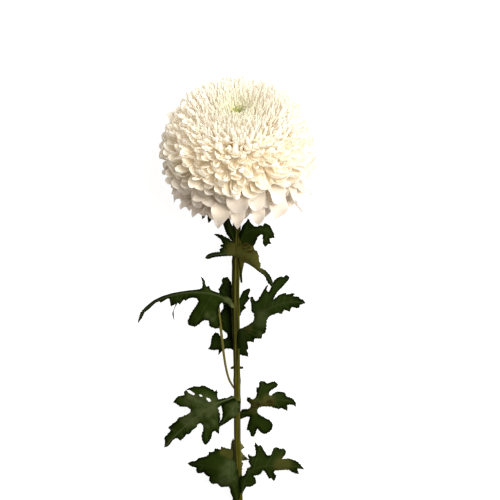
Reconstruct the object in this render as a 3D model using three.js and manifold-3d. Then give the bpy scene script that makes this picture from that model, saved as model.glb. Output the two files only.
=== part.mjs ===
// A disbud chrysanthemum, cut and laid down: one large white bloom on a leafy stem.
// Millimetres. +Y runs up the stem to the bloom, +X to the right, +Z up from the surface it lies on.
import * as THREE from 'three';
import { mergeVertices } from 'three/addons/utils/BufferGeometryUtils.js';
import Module from 'manifold-3d';

const wasm = await Module();
wasm.setup();

// Driving dimensions of the bloom
const bloomRadius = 57.5;
const bloomCentre = new THREE.Vector3(-9, 68.2, 43.5);
const bloomLift = THREE.MathUtils.degToRad(43); // how far the bloom faces up from the line of the stem
const dimpleDepth = 0.17; // how far the bloom sinks at its eye, against its radius
const shoulderRise = 0.05; // how far it stands out round the eye
const baseDepth = 0.1; // how far it draws in towards the calyx
const coreShare = 0.62; // radius of the packed floret bases against that of the bloom
const pressDepth = 3; // height under which a floret is bent up by the surface
const seatDepth = 1.5; // what is left of it below the surface, trimmed to a flat spot
const pieceGap = 0.35; // clearance between neighbouring pieces

// Driving dimensions of a floret, where a pair goes from the bloom's front to its back
const floretCount = 222;
const firstFloret = 13; // the ones before it belong to the green eye
const floretThickness = 1.1;
const floretBend = 13; // length of its tip, beyond the bend
const floretLean = [6, 66]; // degrees from straight out, away from the eye
const floretCup = [0.42, 0.22]; // rise of its edges against half its width
const tipRise = 0.16; // how far its cupped end turns to the eye, against its width
const rootShare = 0.84; // angle of its root from the bloom's axis against that of its tip
const rootDepth = 0.93; // distance of its root from the bloom's centre against the core's radius
const frontStations = [[0, 0.36], [0.62, 0.95], [0.9, 0.84]]; // share of its length, share of its width
const backStations = [[0, 0.34], [0.5, 0.86], [0.8, 1], [0.95, 0.66]];

// Driving dimensions of the green parts
const calyxTop = -25.5; // along the bloom's axis from its centre
const calyxFoot = -35.5;
const calyxRadius = 12;
const bractCount = 9;
const bractRows = 2;
const bractStep = 2.6; // from one row down to the next
const eyeFoot = 31;
const eyeTop = 45.5;
const eyeRadius = 4.4;
const eyeFloretCount = 12;
const eyeSocket = 8; // how far the florets round the eye are kept clear above it
const neckRadius = 2.6;
const middleRadius = 2.35;
const footRadius = 2.65;
const nodeSwelling = 0.35;
const stemSides = 10;
const stemSteps = 34;
const stemRidge = 0.07; // height of the stem's ribs against its radius
const scarLength = 4.6; // from the middle of the stem
const scarRadius = [1.3, 0.75];
const shootRadius = [0.75, 1.2];
const bladeThickness = 0.9;
const stalkRadius = [1.2, 0.4];
const stalkDrop = 0.33; // the stalk and its rib stand out under the blade
const stalkSteps = 3;

const petalWhite = new THREE.MeshStandardMaterial({ color: '#f6efdf', roughness: 0.6, metalness: 0 });
const eyeGreen = new THREE.MeshStandardMaterial({ color: '#cfd58a', roughness: 0.6, metalness: 0 });
const calyxGreen = new THREE.MeshStandardMaterial({ color: '#5f6f35', roughness: 0.7, metalness: 0 });
const stemGreen = new THREE.MeshStandardMaterial({ color: '#5c5f26', roughness: 0.6, metalness: 0 });
const shootGreen = new THREE.MeshStandardMaterial({ color: '#7d7f35', roughness: 0.6, metalness: 0 });
const leafGreen = new THREE.MeshStandardMaterial({ color: '#2c3f1c', roughness: 0.65, metalness: 0 });

// A repeatable draw from 0 to 1
function makeDraw(seed) {
  let state = seed >>> 0;
  return () => {
    state = (Math.imul(state, 1664525) + 1013904223) >>> 0;
    return state / 4294967296;
  };
}

const lerp = THREE.MathUtils.lerp;
const smoothstep = THREE.MathUtils.smoothstep;
const radians = THREE.MathUtils.degToRad;

// Solids and meshes
function solidFrom(geometry) {
  const bare = geometry.index ? geometry.toNonIndexed() : geometry.clone();
  bare.deleteAttribute('normal');
  bare.deleteAttribute('uv');
  const merged = mergeVertices(bare, 1e-4);
  return new wasm.Manifold(new wasm.Mesh({
    numProp: 3,
    vertProperties: merged.attributes.position.array,
    triVerts: new Uint32Array(merged.index.array),
  }));
}

// The largest body of a solid, which drops scraps that a cut leaves loose
function wholeBody(solid) {
  const bodies = solid.decompose();
  return bodies.reduce((best, body) => (body.volume() > best.volume() ? body : best));
}

function meshFrom(solid, name, material) {
  const { vertProperties, triVerts } = wholeBody(solid).getMesh();
  const geometry = new THREE.BufferGeometry();
  geometry.setAttribute('position', new THREE.BufferAttribute(vertProperties, 3));
  geometry.setIndex(new THREE.BufferAttribute(triVerts, 1));
  geometry.computeVertexNormals();
  const mesh = new THREE.Mesh(geometry, material);
  mesh.name = name;
  return mesh;
}

// A closed skin over rings of points, all with the same number of points. The last ring may be one point.
function loft(rings) {
  const positions = [];
  const index = [];
  const starts = rings.map((ring) => {
    const start = positions.length / 3;
    ring.forEach((p) => positions.push(p.x, p.y, p.z));
    return start;
  });
  const sides = rings[0].length;
  for (let r = 0; r + 1 < rings.length; r++) {
    const a = starts[r];
    const b = starts[r + 1];
    const closing = rings[r + 1].length === 1;
    for (let i = 0; i < sides; i++) {
      const j = (i + 1) % sides;
      if (closing) {
        index.push(a + i, a + j, b);
      } else {
        index.push(a + i, a + j, b + j, a + i, b + j, b + i);
      }
    }
  }
  const last = rings.length - 1;
  for (let i = 1; i + 1 < sides; i++) {
    index.push(starts[0], starts[0] + i + 1, starts[0] + i);
    if (rings[last].length > 1) index.push(starts[last], starts[last] + i, starts[last] + i + 1);
  }
  const geometry = new THREE.BufferGeometry();
  geometry.setAttribute('position', new THREE.Float32BufferAttribute(positions, 3));
  geometry.setIndex(index);
  return geometry;
}

// A round rod along a curve, with its radius given by a function of the way along
function rod(curve, radiusAt, sides, steps, ridge = 0) {
  const rings = [];
  const side = new THREE.Vector3();
  const up = new THREE.Vector3();
  for (let k = 0; k <= steps; k++) {
    const centre = curve.getPointAt(k / steps);
    const along = curve.getTangentAt(k / steps);
    side.set(1, 0, 0).addScaledVector(along, -along.x).normalize();
    if (Math.abs(along.x) > 0.9) side.set(0, 1, 0).addScaledVector(along, -along.y).normalize();
    up.crossVectors(along, side);
    rings.push(Array.from({ length: sides }, (_, i) => {
      const turn = (i / sides) * 2 * Math.PI;
      const radius = radiusAt(k / steps) * (1 + (i % 2 ? -ridge : ridge));
      return centre.clone()
        .addScaledVector(side, Math.cos(turn) * radius)
        .addScaledVector(up, Math.sin(turn) * radius);
    }));
  }
  return loft(rings);
}

// The bloom's own frame: axis out through the eye, azimuth 0 along +X and 90 degrees towards the surface
const bloomAxis = new THREE.Vector3(0, Math.cos(bloomLift), Math.sin(bloomLift));
const bloomSide = new THREE.Vector3(1, 0, 0);
const bloomDown = new THREE.Vector3().crossVectors(bloomAxis, bloomSide);
const goldenAngle = Math.PI * (3 - Math.sqrt(5));

function bloomPoint(out, height, azimuth) {
  return bloomCentre.clone()
    .addScaledVector(bloomAxis, height)
    .addScaledVector(bloomSide, out * Math.cos(azimuth))
    .addScaledVector(bloomDown, out * Math.sin(azimuth));
}

// Outer radius of the bloom at an angle from its axis: a ball with a dimple at the eye and a drawn-in base
function bloomReach(polar) {
  const dimple = dimpleDepth * Math.exp(-((polar / radians(15)) ** 2));
  const shoulder = shoulderRise * Math.exp(-(((polar - radians(42)) / radians(24)) ** 2));
  const base = baseDepth * smoothstep(polar, radians(95), radians(130));
  return bloomRadius * (1 - dimple + shoulder - base);
}

function coreReach(polar) {
  return coreShare * bloomReach(Math.min(polar, radians(110)));
}

// The packed floret bases, a ball open to nothing, cut off above the calyx
function coreGeometry() {
  const foot = calyxTop + pieceGap;
  const profile = [new THREE.Vector2(0, foot), new THREE.Vector2(calyxRadius - 1, foot)];
  for (const degrees of [126, 104, 84, 64, 44, 24]) {
    profile.push(outward(radians(degrees), coreReach(radians(degrees))));
  }
  profile.push(new THREE.Vector2(0, eyeFoot - pieceGap));
  return placedOnBloom(new THREE.LatheGeometry(profile, 18));
}

// A shape made round +Y is turned to stand along the bloom's axis
function placedOnBloom(geometry) {
  const turn = new THREE.Matrix4().makeBasis(bloomSide, bloomAxis, bloomDown.clone().negate());
  return geometry.applyMatrix4(turn.setPosition(bloomCentre));
}

// How far the surface bends up what would reach below it
function pressLift(lowest) {
  if (lowest > pressDepth) return 0;
  const span = pressDepth + seatDepth;
  return -seatDepth + span * Math.exp((lowest - pressDepth) / span) - lowest;
}

// One ray floret: a channelled strap that rises from the core, leans away from the eye and cups at its tip
function floretGeometry(t, azimuth, width, draw) {
  const polar = floretPolar(t) + radians(2.4) * (draw() - 0.5);
  const outer = smoothstep(polar, radians(96), radians(122));
  const reach = bloomReach(polar) * (1 + 0.05 * (draw() - 0.5));
  const lean = radians(lerp(...floretLean, smoothstep(polar, radians(-10), radians(100))));
  const slope = polar + lean + radians(14) * (draw() - 0.5);
  const root = outward(polar * rootShare, coreReach(polar * rootShare) * rootDepth);
  root.lerp(new THREE.Vector2(calyxRadius - 2.5, calyxTop + 3), outer);
  const tip = outward(polar, reach);
  const bend = tip.clone().sub(outward(slope, floretBend));
  const cup = lerp(...floretCup, outer);
  const roll = radians(22) * (draw() - 0.5);
  const stations = polar < radians(75) ? frontStations : backStations;
  const rings = stations.map(([along, share]) => floretRing(along, (share * width) / 2));
  rings.push([floretRing(1, 0)[0]]);
  rings.forEach((ring) => {
    const lift = pressLift(Math.min(...ring.map((p) => p.z)));
    ring.forEach((p) => { p.z += lift; });
  });
  return loft(rings);

  function floretRing(along, half) {
    const back = 1 - along;
    const centre = root.clone().multiplyScalar(back * back)
      .addScaledVector(bend, 2 * along * back)
      .addScaledVector(tip, along * along);
    const run = bend.clone().sub(root).multiplyScalar(back)
      .addScaledVector(tip.clone().sub(bend), along).normalize();
    const face = new THREE.Vector2(-run.y, run.x);
    centre.addScaledVector(face, (1 - outer) * tipRise * width * Math.max(0, (along - 0.7) / 0.3));
    const middle = bloomPoint(centre.x, centre.y, azimuth);
    const facing = bloomPoint(centre.x + face.x, centre.y + face.y, azimuth).sub(middle);
    const across = bloomPoint(1, 0, azimuth + Math.PI / 2).sub(bloomCentre);
    const turned = across.clone().multiplyScalar(Math.cos(roll)).addScaledVector(facing, Math.sin(roll));
    const lifted = facing.multiplyScalar(Math.cos(roll)).addScaledVector(across, -Math.sin(roll));
    const edge = (side) => middle.clone()
      .addScaledVector(turned, side * half)
      .addScaledVector(lifted, cup * half);
    return [middle.clone(), edge(-1), middle.clone().addScaledVector(lifted, -floretThickness), edge(1)];
  }
}

// A place in a half-plane through the bloom's axis: x is out from the axis, y is along it
function outward(polar, distance) {
  return new THREE.Vector2(Math.sin(polar), Math.cos(polar)).multiplyScalar(distance);
}

function floretPolar(t) {
  return radians(105 * t + 25 * t ** 6);
}

// Room for one floret, so that they cover the bloom evenly
function floretSpacing(t) {
  const spread = radians(105 + 150 * t ** 5);
  return bloomRadius * Math.sqrt((2 * Math.PI * Math.sin(floretPolar(t)) * spread) / floretCount);
}

function bloomSolid() {
  const draw = makeDraw(11);
  const parts = [solidFrom(coreGeometry())];
  for (let i = firstFloret; i < floretCount; i++) {
    const t = (i + 0.5) / floretCount;
    const width = floretSpacing(t) * (0.94 + 0.16 * draw());
    const azimuth = i * goldenAngle + radians(3) * (draw() - 0.5);
    parts.push(solidFrom(floretGeometry(t, azimuth, width, draw)));
  }
  const belowSurface = new THREE.BoxGeometry(400, 400, 40).translate(0, 0, -20);
  return wasm.Manifold.union(parts)
    .subtract(solidFrom(belowSurface))
    .subtract(solidFrom(eyeSocketGeometry()))
    .subtract(solidFrom(calyxGeometry(pieceGap)));
}

// The eye: the youngest florets, still closed in a small green bud
function eyeGeometry() {
  return placedOnBloom(new THREE.LatheGeometry([
    new THREE.Vector2(0, eyeFoot),
    new THREE.Vector2(eyeRadius * 0.62, eyeFoot),
    new THREE.Vector2(eyeRadius * 0.9, (eyeFoot + eyeTop) / 2),
    new THREE.Vector2(eyeRadius * 0.6, eyeTop - 3),
    new THREE.Vector2(0, eyeTop - 2),
  ], 12));
}

// The place of the eye among the florets round it, open to the front
function eyeSocketGeometry() {
  const top = eyeTop + eyeSocket;
  return placedOnBloom(new THREE.LatheGeometry([
    new THREE.Vector2(0, eyeFoot - pieceGap),
    new THREE.Vector2(eyeRadius * 0.62 + pieceGap, eyeFoot - pieceGap),
    new THREE.Vector2(eyeRadius * 0.9 + pieceGap, (eyeFoot + eyeTop) / 2),
    new THREE.Vector2(eyeRadius * 1.2 + pieceGap, top),
    new THREE.Vector2(0, top),
  ], 12));
}

function eyeSolid() {
  const parts = [solidFrom(eyeGeometry())];
  const draw = makeDraw(5);
  for (let i = 0; i < eyeFloretCount; i++) {
    const share = Math.sqrt((i + 0.5) / eyeFloretCount);
    const azimuth = i * goldenAngle;
    const out = eyeRadius * share;
    const top = eyeTop - 3.4 * (1 - share) + 0.8 * (draw() - 0.5);
    parts.push(solidFrom(loft([
      squareRing(eyeFoot + 6, out * 0.5, azimuth, 0.55),
      squareRing(top - 2, out * 0.8, azimuth, 0.95),
      [bloomPoint(out, top, azimuth)],
    ])));
  }
  return wasm.Manifold.union(parts);
}

// Four points round a place in the bloom, square to its axis
function squareRing(height, out, azimuth, half) {
  return [0, 1, 2, 3].map((k) => {
    const turn = azimuth + (k * Math.PI) / 2;
    return bloomPoint(out, height, azimuth)
      .addScaledVector(bloomSide, half * Math.cos(turn))
      .addScaledVector(bloomDown, half * Math.sin(turn));
  });
}

// The calyx: a shallow green cup of bracts that holds the florets on the stem
function calyxGeometry(grown = 0) {
  return placedOnBloom(new THREE.LatheGeometry([
    new THREE.Vector2(0, calyxFoot - grown),
    new THREE.Vector2(3.4 + grown, calyxFoot - grown),
    new THREE.Vector2(7.6 + grown, calyxFoot + 3.2 - grown),
    new THREE.Vector2(calyxRadius - 1.6 + grown, calyxTop - 3.4),
    new THREE.Vector2(calyxRadius - 1 + grown, calyxTop + grown),
    new THREE.Vector2(0, calyxTop + grown),
  ], 16));
}

function calyxSolid() {
  const parts = [solidFrom(calyxGeometry())];
  for (let row = 0; row < bractRows; row++) {
    for (let i = 0; i < bractCount; i++) {
      const azimuth = ((i + row / 2) / bractCount) * 2 * Math.PI;
      parts.push(solidFrom(bractGeometry(azimuth, row)));
    }
  }
  const aboveCup = new THREE.CylinderGeometry(bloomRadius, bloomRadius, 40, 24);
  aboveCup.translate(0, calyxTop + 20.01, 0);
  return wasm.Manifold.union(parts).subtract(solidFrom(placedOnBloom(aboveCup)));
}

// A bract: a narrow pointed scale pressed to the cup
function bractGeometry(azimuth, row) {
  const top = calyxTop - row * bractStep;
  const ring = (out, height, half) => [
    bloomPoint(out + 0.9, height - 0.5, azimuth),
    bloomPoint(out, height, azimuth + half / out),
    bloomPoint(out - 0.9, height + 0.5, azimuth),
    bloomPoint(out, height, azimuth - half / out),
  ];
  const tip = bloomPoint(calyxRadius + 0.3, top - 0.5, azimuth);
  return loft([ring(6, calyxFoot + 2.4, 1.4), ring(calyxRadius - 0.6, top - 3.6, 1.9), [tip]]);
}

// The stem, from the calyx round the neck and down to the cut end, which touches the surface
const stemCurve = new THREE.CatmullRomCurve3([
  bloomPoint(0, calyxFoot - pieceGap, 0),
  bloomPoint(0, calyxFoot - 7, 0),
  new THREE.Vector3(-9.4, 31.5, 10.6),
  new THREE.Vector3(-9.7, 22, 9.3),
  new THREE.Vector3(-10.2, 0, 9.4),
  new THREE.Vector3(-10.8, -30.5, 9.6),
  new THREE.Vector3(-10.4, -60, 9.6),
  new THREE.Vector3(-9.9, -87.6, 9.2),
  new THREE.Vector3(-9.6, -115, 8.7),
  new THREE.Vector3(-9.5, -141.7, 8),
  new THREE.Vector3(-8.9, -166, 7),
  new THREE.Vector3(-8, -190.5, 5.4),
  new THREE.Vector3(-6.4, -240, 2.7),
], false, 'centripetal');

// Nodes of the stem, where leaves leave it, as shares of its length
const stemNodes = [0.135, 0.19, 0.315, 0.38, 0.505, 0.56, 0.76, 0.79];

function stemRadius(along) {
  const swelling = stemNodes.reduce((sum, node) => sum + Math.exp(-(((along - node) / 0.009) ** 2)), 0);
  const waist = lerp(neckRadius, middleRadius, smoothstep(along, 0.1, 0.5));
  const widening = (footRadius - middleRadius) * smoothstep(along, 0.6, 1);
  return waist + widening + nodeSwelling * Math.min(swelling, 1);
}

function stemGeometry(grown = 0) {
  return rod(stemCurve, (along) => stemRadius(along) + grown, stemSides, stemSteps, stemRidge);
}

// Bud scars: what is left on the stem where side buds were picked off, as a share of its length and a side
const budScars = [[0.447, -1], [0.454, 1]];

function stemSolid() {
  const parts = [solidFrom(stemGeometry())];
  budScars.forEach(([share, side]) => {
    const foot = stemCurve.getPointAt(share);
    const end = foot.clone().add(new THREE.Vector3(side * scarLength, -0.6, 0));
    const stub = rod(new THREE.LineCurve3(foot, end), (along) => lerp(...scarRadius, along), 6, 1);
    parts.push(solidFrom(stub));
  });
  return wasm.Manifold.union(parts);
}

// The disbudded side shoot, a bare stalk beside the stem
const shootCurve = new THREE.CatmullRomCurve3([
  new THREE.Vector3(-11, -106, 8.4),
  new THREE.Vector3(-15.4, -99, 8.8),
  new THREE.Vector3(-18.6, -87, 9.6),
  new THREE.Vector3(-21.3, -67, 9),
  new THREE.Vector3(-23.4, -50, 8.4),
  new THREE.Vector3(-24.2, -43, 8.2),
]);

function shootSolid() {
  return solidFrom(rod(shootCurve, (along) => lerp(...shootRadius, along), 8, 12));
}

// A leaf: its midrib in space from the stem to the tip, and the two edges of its blade as seen from above,
// also from the stem to the tip. fall: how steeply the left and the right half drop from the midrib.
// stalk: how many of the midrib's first points belong to a bare stalk.
const leaves = [
  {
    name: 'leaf_crown_left', fall: [0.3, 0.4],
    rib: [
      [-10.4, 12, 9.2], [-17, 20, 11], [-25, 27, 10], [-31.5, 29.5, 8], [-35, 27, 5.5],
      [-36.5, 23.2, 3.5],
    ],
    left: [
      [-16, 17], [-23, 23], [-28.5, 26], [-29.7, 22.3], [-31.6, 20.8], [-32, 26], [-33.2, 27],
      [-34.6, 25],
    ],
    right: [[-17, 22.5], [-25, 30], [-31, 32.5], [-34.5, 31.5], [-36, 27.5]],
  },
  {
    name: 'leaf_crown_inner', fall: [0.5, 0.3],
    rib: [[-11.2, 6, 10], [-14, 12, 13.5], [-16, 18, 15.5], [-15.8, 25.5, 15]],
    left: [[-13, 6.5], [-15.5, 9.5], [-17.5, 12.5], [-19, 16], [-20.3, 20.3], [-18, 22.5]],
    right: [[-10.6, 13], [-13, 17.5], [-14.7, 20.5]],
  },
  {
    name: 'leaf_upper_left', fall: [0.25, 0.2],
    rib: [[-11, -1.5, 10.5], [-16, -2.3, 13], [-22, -3.2, 13.5], [-28, -3.8, 11], [-34.2, -6.2, 7.5]],
    left: [[-12.5, -3.6], [-18, -4.4], [-24, -4.9], [-28, -5.6], [-31.5, -6.7]],
    right: [
      [-12.5, 6], [-16, 8.3], [-20, 10.5], [-24, 12], [-27, 12], [-23, 9], [-20, 4.6], [-22.6, 3.2],
      [-20.4, 1.8], [-23, 0.6], [-22.5, -1.5], [-26, -1.8], [-30, -2.5], [-33, -4.4],
    ],
  },
  {
    name: 'leaf_upper_right', fall: [0.25, 0.35],
    rib: [
      [-8.5, 3.5, 9], [-6, 9, 12], [-1, 14, 14.6], [5, 15.5, 15.6], [11, 15, 14.6], [15.5, 12.8, 12],
      [18.7, 9, 8.5],
    ],
    left: [
      [-8.4, 8], [-7, 14], [-5.5, 18.5], [-3, 21], [-1.3, 23.7], [0.5, 20.5], [3, 18], [5.5, 17.4],
      [8, 18.8], [9.5, 18], [11, 20.2], [14, 19], [16, 16.5], [17.4, 13.5],
    ],
    right: [
      [-4, 3], [0.5, 2.2], [3, 3.5], [4.5, 6.5], [5.5, 9.5], [7.5, 11.5], [9.5, 11.8], [10, 8.5],
      [9.8, 5], [11.8, 2.5], [13.5, 4.5], [15.6, 5], [14.6, 8.5], [16.5, 9.2],
    ],
  },
  {
    name: 'leaf_upper_folded', fall: [0.2, 0.45],
    rib: [
      [-9, -1.5, 11.5], [-4, -3, 15], [1, -6.5, 17], [6, -12.6, 17], [10.6, -17.8, 16.5], [15, -22.5, 16],
      [17.6, -28, 15.5],
    ],
    left: [
      [-8.5, 3], [-6, 4.5], [-3, 5.4], [0, 4.5], [2.5, 3], [3.5, 0], [5.6, -1.5], [6.5, -4.5],
      [6.8, -8.5], [8, -11.5], [7.7, -13.4], [11, -15], [14, -18], [16.6, -22.5],
    ],
    right: [
      [-8.6, -6], [-7.6, -15], [-7, -24.5], [-6.3, -18], [-5.2, -12], [-4.5, -10], [-1.5, -11],
      [1.5, -12.2], [4.5, -14.5], [6.5, -16], [9.5, -18.2], [12, -21], [13.5, -24.5], [16.3, -27.5],
    ],
  },
  {
    name: 'leaf_behind_upper', fall: [0.02, 0.02],
    rib: [
      [-10.6, -78, 5.4], [-11.5, -72, 3], [-13.5, -60, 2.2], [-15, -45, 2], [-16, -33, 2],
      [-17, -20.4, 1.8],
    ],
    left: [
      [-12.5, -76.5], [-14.5, -75], [-18.5, -75], [-22, -77.5], [-24, -79.5], [-23.8, -76], [-28, -76],
      [-31.8, -75.2], [-30, -73], [-29.5, -69], [-28.5, -65.5], [-26.5, -62.8], [-24, -63.5], [-22, -67],
      [-19, -67.6], [-17, -66], [-17.5, -63.5], [-21.5, -60], [-23, -53], [-22.4, -47.5], [-20.2, -44.5],
      [-20.5, -40], [-22.6, -34], [-23.6, -30], [-22.5, -27.5], [-21, -25.5], [-21.5, -23], [-19.5, -21],
    ],
    right: [
      [-9.5, -70], [-9.5, -60], [-8.5, -52], [-7, -48.5], [-5.5, -46], [-3, -43.8], [-4.5, -42.3],
      [-2.5, -39.8], [-0.5, -37], [-1.4, -35], [0.3, -30.5], [-0.8, -29.2], [-3, -30], [-5.5, -32],
      [-7, -35], [-9, -38], [-12, -34], [-14.5, -24.6], [-15.5, -23],
    ],
  },
  {
    name: 'leaf_mid_left', stalk: 2, fall: [0.24, 1],
    rib: [
      [-11.5, -44, 10], [-14.5, -39.8, 14], [-20, -36.2, 17], [-27, -33.5, 19], [-35, -32.2, 20],
      [-45, -32, 19.5], [-55, -33.5, 17.5], [-65, -36.3, 14], [-75, -41.5, 9.5], [-82, -48.5, 5],
      [-85.3, -56, 1],
    ],
    left: [
      [-14, -43.5], [-18, -40], [-22, -40], [-24, -45], [-23.4, -52], [-22.9, -57], [-24.5, -59.2],
      [-30.5, -57.5], [-31, -53.6], [-34.5, -52.8], [-39.5, -56.5], [-42, -57.8], [-46.5, -56.6],
      [-47, -54.5], [-45.5, -50], [-43.2, -46], [-40.5, -42], [-38.7, -38.6], [-40, -36.4], [-43, -35.9],
      [-46, -36.5], [-48.7, -38.3], [-49.6, -37.2], [-53, -41], [-54.4, -39.6], [-57.6, -46],
      [-57.5, -53], [-58.8, -48], [-56, -40.6], [-59.8, -42.6], [-60.6, -37], [-62, -36.6],
      [-67.5, -39.8], [-68.4, -38.8], [-71, -39.8], [-74, -42.4], [-77.5, -45.6], [-79.6, -46.6],
      [-82, -51],
    ],
    right: [
      [-12.5, -39], [-17, -35.5], [-22, -33], [-26, -31.5], [-29.5, -30], [-31, -27.5], [-33, -27.6],
      [-34.6, -23], [-37, -20.5], [-35.7, -25], [-36, -28.4], [-38, -29.6], [-45, -30.3], [-52, -31.3],
      [-58, -32.4], [-66, -34.8], [-73, -38.2], [-79, -43], [-83.6, -49],
    ],
  },
  {
    name: 'leaf_mid_right', fall: [0.15, 0.3],
    rib: [
      [-8, -60.6, 10], [-4, -60, 12.5], [1, -57.5, 14.5], [5.5, -52.5, 15.5], [9, -48, 15.8],
      [14, -44.5, 15], [20, -42, 13], [27, -40, 10], [34, -39.2, 6.5], [42.3, -40.5, 2],
    ],
    left: [
      [-5.5, -59], [-1, -56.6], [1.7, -54.6], [3.2, -52.5], [3, -48], [1, -46], [1.4, -43], [0.2, -37.2],
      [1, -35.3], [2.5, -36.4], [4, -38.7], [6, -37.8], [8, -34.5], [10.5, -30], [13.5, -26.3],
      [12.4, -30], [13.5, -32], [15, -30.5], [17, -25.5], [19, -22.5], [22.5, -20.3], [25.5, -20.6],
      [28, -19.2], [30, -21], [28.5, -23.5], [24.5, -28], [20, -32.5], [17.6, -37.6], [19.5, -36.3],
      [22, -34], [27.5, -32.5], [27, -33.8], [33.5, -33], [32.7, -35], [37, -35.5], [38, -37.4],
      [40.5, -38],
    ],
    right: [
      [-3, -61.8], [-2.2, -66], [-1, -69], [1.8, -69.7], [3, -67.6], [6.5, -67], [8.8, -65.5],
      [10.5, -63], [11.6, -60], [12.3, -56], [12.4, -53.5], [13.6, -51], [16, -49.3], [22, -47.4],
      [24, -48.5], [25.5, -45.2], [30.3, -46.5], [31, -43.3], [37, -44], [37.5, -41.8],
    ],
  },
  {
    name: 'leaf_mid_small', fall: [0.1, 0.1],
    rib: [[-8.4, -63.5, 8.2], [-5.4, -69, 6.8], [-4.4, -76, 3.4], [-1.4, -81.2, 1.4]],
    left: [[-6, -64], [-3.4, -69.5], [-1.5, -74], [-2.5, -77]],
    right: [[-8.6, -69], [-8.8, -76], [-8, -79.6], [-6, -79.8], [-4, -81.2]],
  },
  {
    name: 'leaf_low_left', fall: [0.28, 0.3],
    rib: [
      [-11.5, -111, 10], [-17, -113, 13.5], [-23, -115, 15.5], [-29, -118, 16], [-36, -122.5, 15],
      [-44, -129, 12.5], [-52, -136, 9], [-59, -143, 5.5], [-65.3, -150.3, 1.6],
    ],
    left: [
      [-15.5, -114.4], [-22, -117.6], [-25, -119.4], [-23.7, -122.6], [-22.8, -127], [-23.4, -133],
      [-23.5, -139.5], [-26.5, -137], [-28.5, -138], [-29.5, -142.5], [-31.5, -146], [-34, -148],
      [-35.6, -146], [-36.8, -141], [-35.5, -137], [-35.5, -132.5], [-37.5, -130.8], [-39.5, -131.5],
      [-41, -134.5], [-44, -136.5], [-46, -139.5], [-48, -139.5], [-50.5, -142.5], [-53, -144.7],
      [-55, -142.6], [-57.6, -143.4], [-60, -146], [-62, -149],
    ],
    right: [
      [-14, -110.2], [-17, -111.8], [-21, -112.3], [-24.4, -112.6], [-25, -106], [-26.6, -107],
      [-29, -105.5], [-33.5, -103.3], [-35.5, -102.7], [-38, -103.5], [-42, -103.3], [-46, -104.8],
      [-50, -107.5], [-49.5, -110], [-54.5, -111], [-58, -115.5], [-55.5, -116.6], [-52.5, -118.7],
      [-48, -118.7], [-45, -120.2], [-45, -122.4], [-47.5, -124.5], [-51, -126], [-54.5, -127.7],
      [-55.5, -129.5], [-62, -135], [-60, -137], [-65, -143], [-64.5, -146],
    ],
  },
  {
    name: 'leaf_low_inner', fall: [0.1, 0.3],
    rib: [
      [-9.5, -113.5, 12.2], [-12, -117.5, 13.6], [-15.5, -122.5, 13.4], [-19.5, -128.5, 11],
      [-23.8, -134.6, 8],
    ],
    left: [
      [-7.6, -114.4], [-7.2, -118], [-8, -122], [-10, -125], [-12, -126.6], [-14.5, -128],
      [-17.5, -130.4], [-21, -132.6],
    ],
    right: [[-12.5, -114.6], [-17, -117], [-20.6, -119.6], [-20.4, -123], [-21.2, -127], [-22.2, -130]],
  },
  {
    name: 'leaf_low_right', fall: [0.2, 0.3],
    rib: [
      [-7.5, -123.8, 9], [-3, -123.4, 11.5], [1.5, -121, 13.5], [4, -117, 15], [8, -114.5, 15.5],
      [14, -113.5, 14.5], [20, -113, 12.5], [26, -113.6, 9.5], [31, -115, 6.5], [33.8, -117, 4.5],
      [35, -119.5, 3],
    ],
    left: [
      [-5.5, -121.7], [-1.5, -122], [0.8, -119.6], [0.8, -116.5], [-1.5, -114.5], [-2.3, -111.3],
      [0, -111.8], [2, -113], [4.5, -111], [5.3, -108], [5, -104], [6.8, -103.8], [7, -100], [10, -99.3],
      [13, -101], [16, -100], [19, -99.8], [21.2, -102], [19.5, -104], [16.5, -105.5], [14.4, -107.8],
      [14.4, -109.6], [16, -110], [18, -108.5], [20.5, -107], [26, -108], [27, -110.5], [30, -112],
      [33, -113.5], [34.6, -116.6],
    ],
    right: [
      [-7, -128], [-3, -126.2], [0, -125.8], [-0.5, -128], [-2.3, -136], [-0.2, -137], [0.5, -139.8],
      [2, -141.5], [3.7, -140], [5.5, -135], [8, -138], [10.5, -139.5], [14, -138.3], [16.5, -136],
      [17.2, -132.5], [14.8, -129], [8.5, -125.5], [5.7, -123], [5.6, -120.5], [7, -118.6], [10, -118],
      [16, -118.2], [22, -120.4], [23, -119.4], [28.3, -122], [28.2, -117.4], [33, -117.6],
    ],
  },
  {
    name: 'leaf_base_left', fall: [0.3, 0.12],
    rib: [
      [-9.4, -184, 9.6], [-12.6, -176, 12.4], [-19, -168.5, 14.5], [-28, -164, 13.5], [-37, -162.6, 9.5],
      [-47.5, -162.3, 2.5],
    ],
    left: [
      [-12.5, -187.4], [-14.5, -184.5], [-15, -181], [-16, -179], [-22, -179.4], [-25, -176.5],
      [-28, -177], [-31, -174.5], [-30.5, -171.5], [-33, -170.5], [-35, -168.3], [-38.5, -169.4],
      [-40.5, -168.4], [-40.5, -165.3], [-45, -164],
    ],
    right: [
      [-8.2, -178], [-8, -170], [-9, -163.5], [-12.4, -158], [-13.4, -151], [-18.5, -150], [-21.5, -149],
      [-22.4, -151], [-26.5, -150.2], [-27, -152.5], [-31, -153.3], [-31.4, -155.4], [-34, -156.5],
      [-39, -157.8], [-41, -160], [-45, -160.8],
    ],
  },
  {
    name: 'leaf_base_right', fall: [0.18, 0.3],
    rib: [
      [-7.4, -178.5, 8.6], [-4, -173, 11.5], [0, -168, 13.5], [5, -164.6, 14.5], [12, -163, 14.2],
      [20, -162.8, 12.5], [28, -163.4, 9.5], [35, -164.4, 6], [41.5, -167, 2],
    ],
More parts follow.
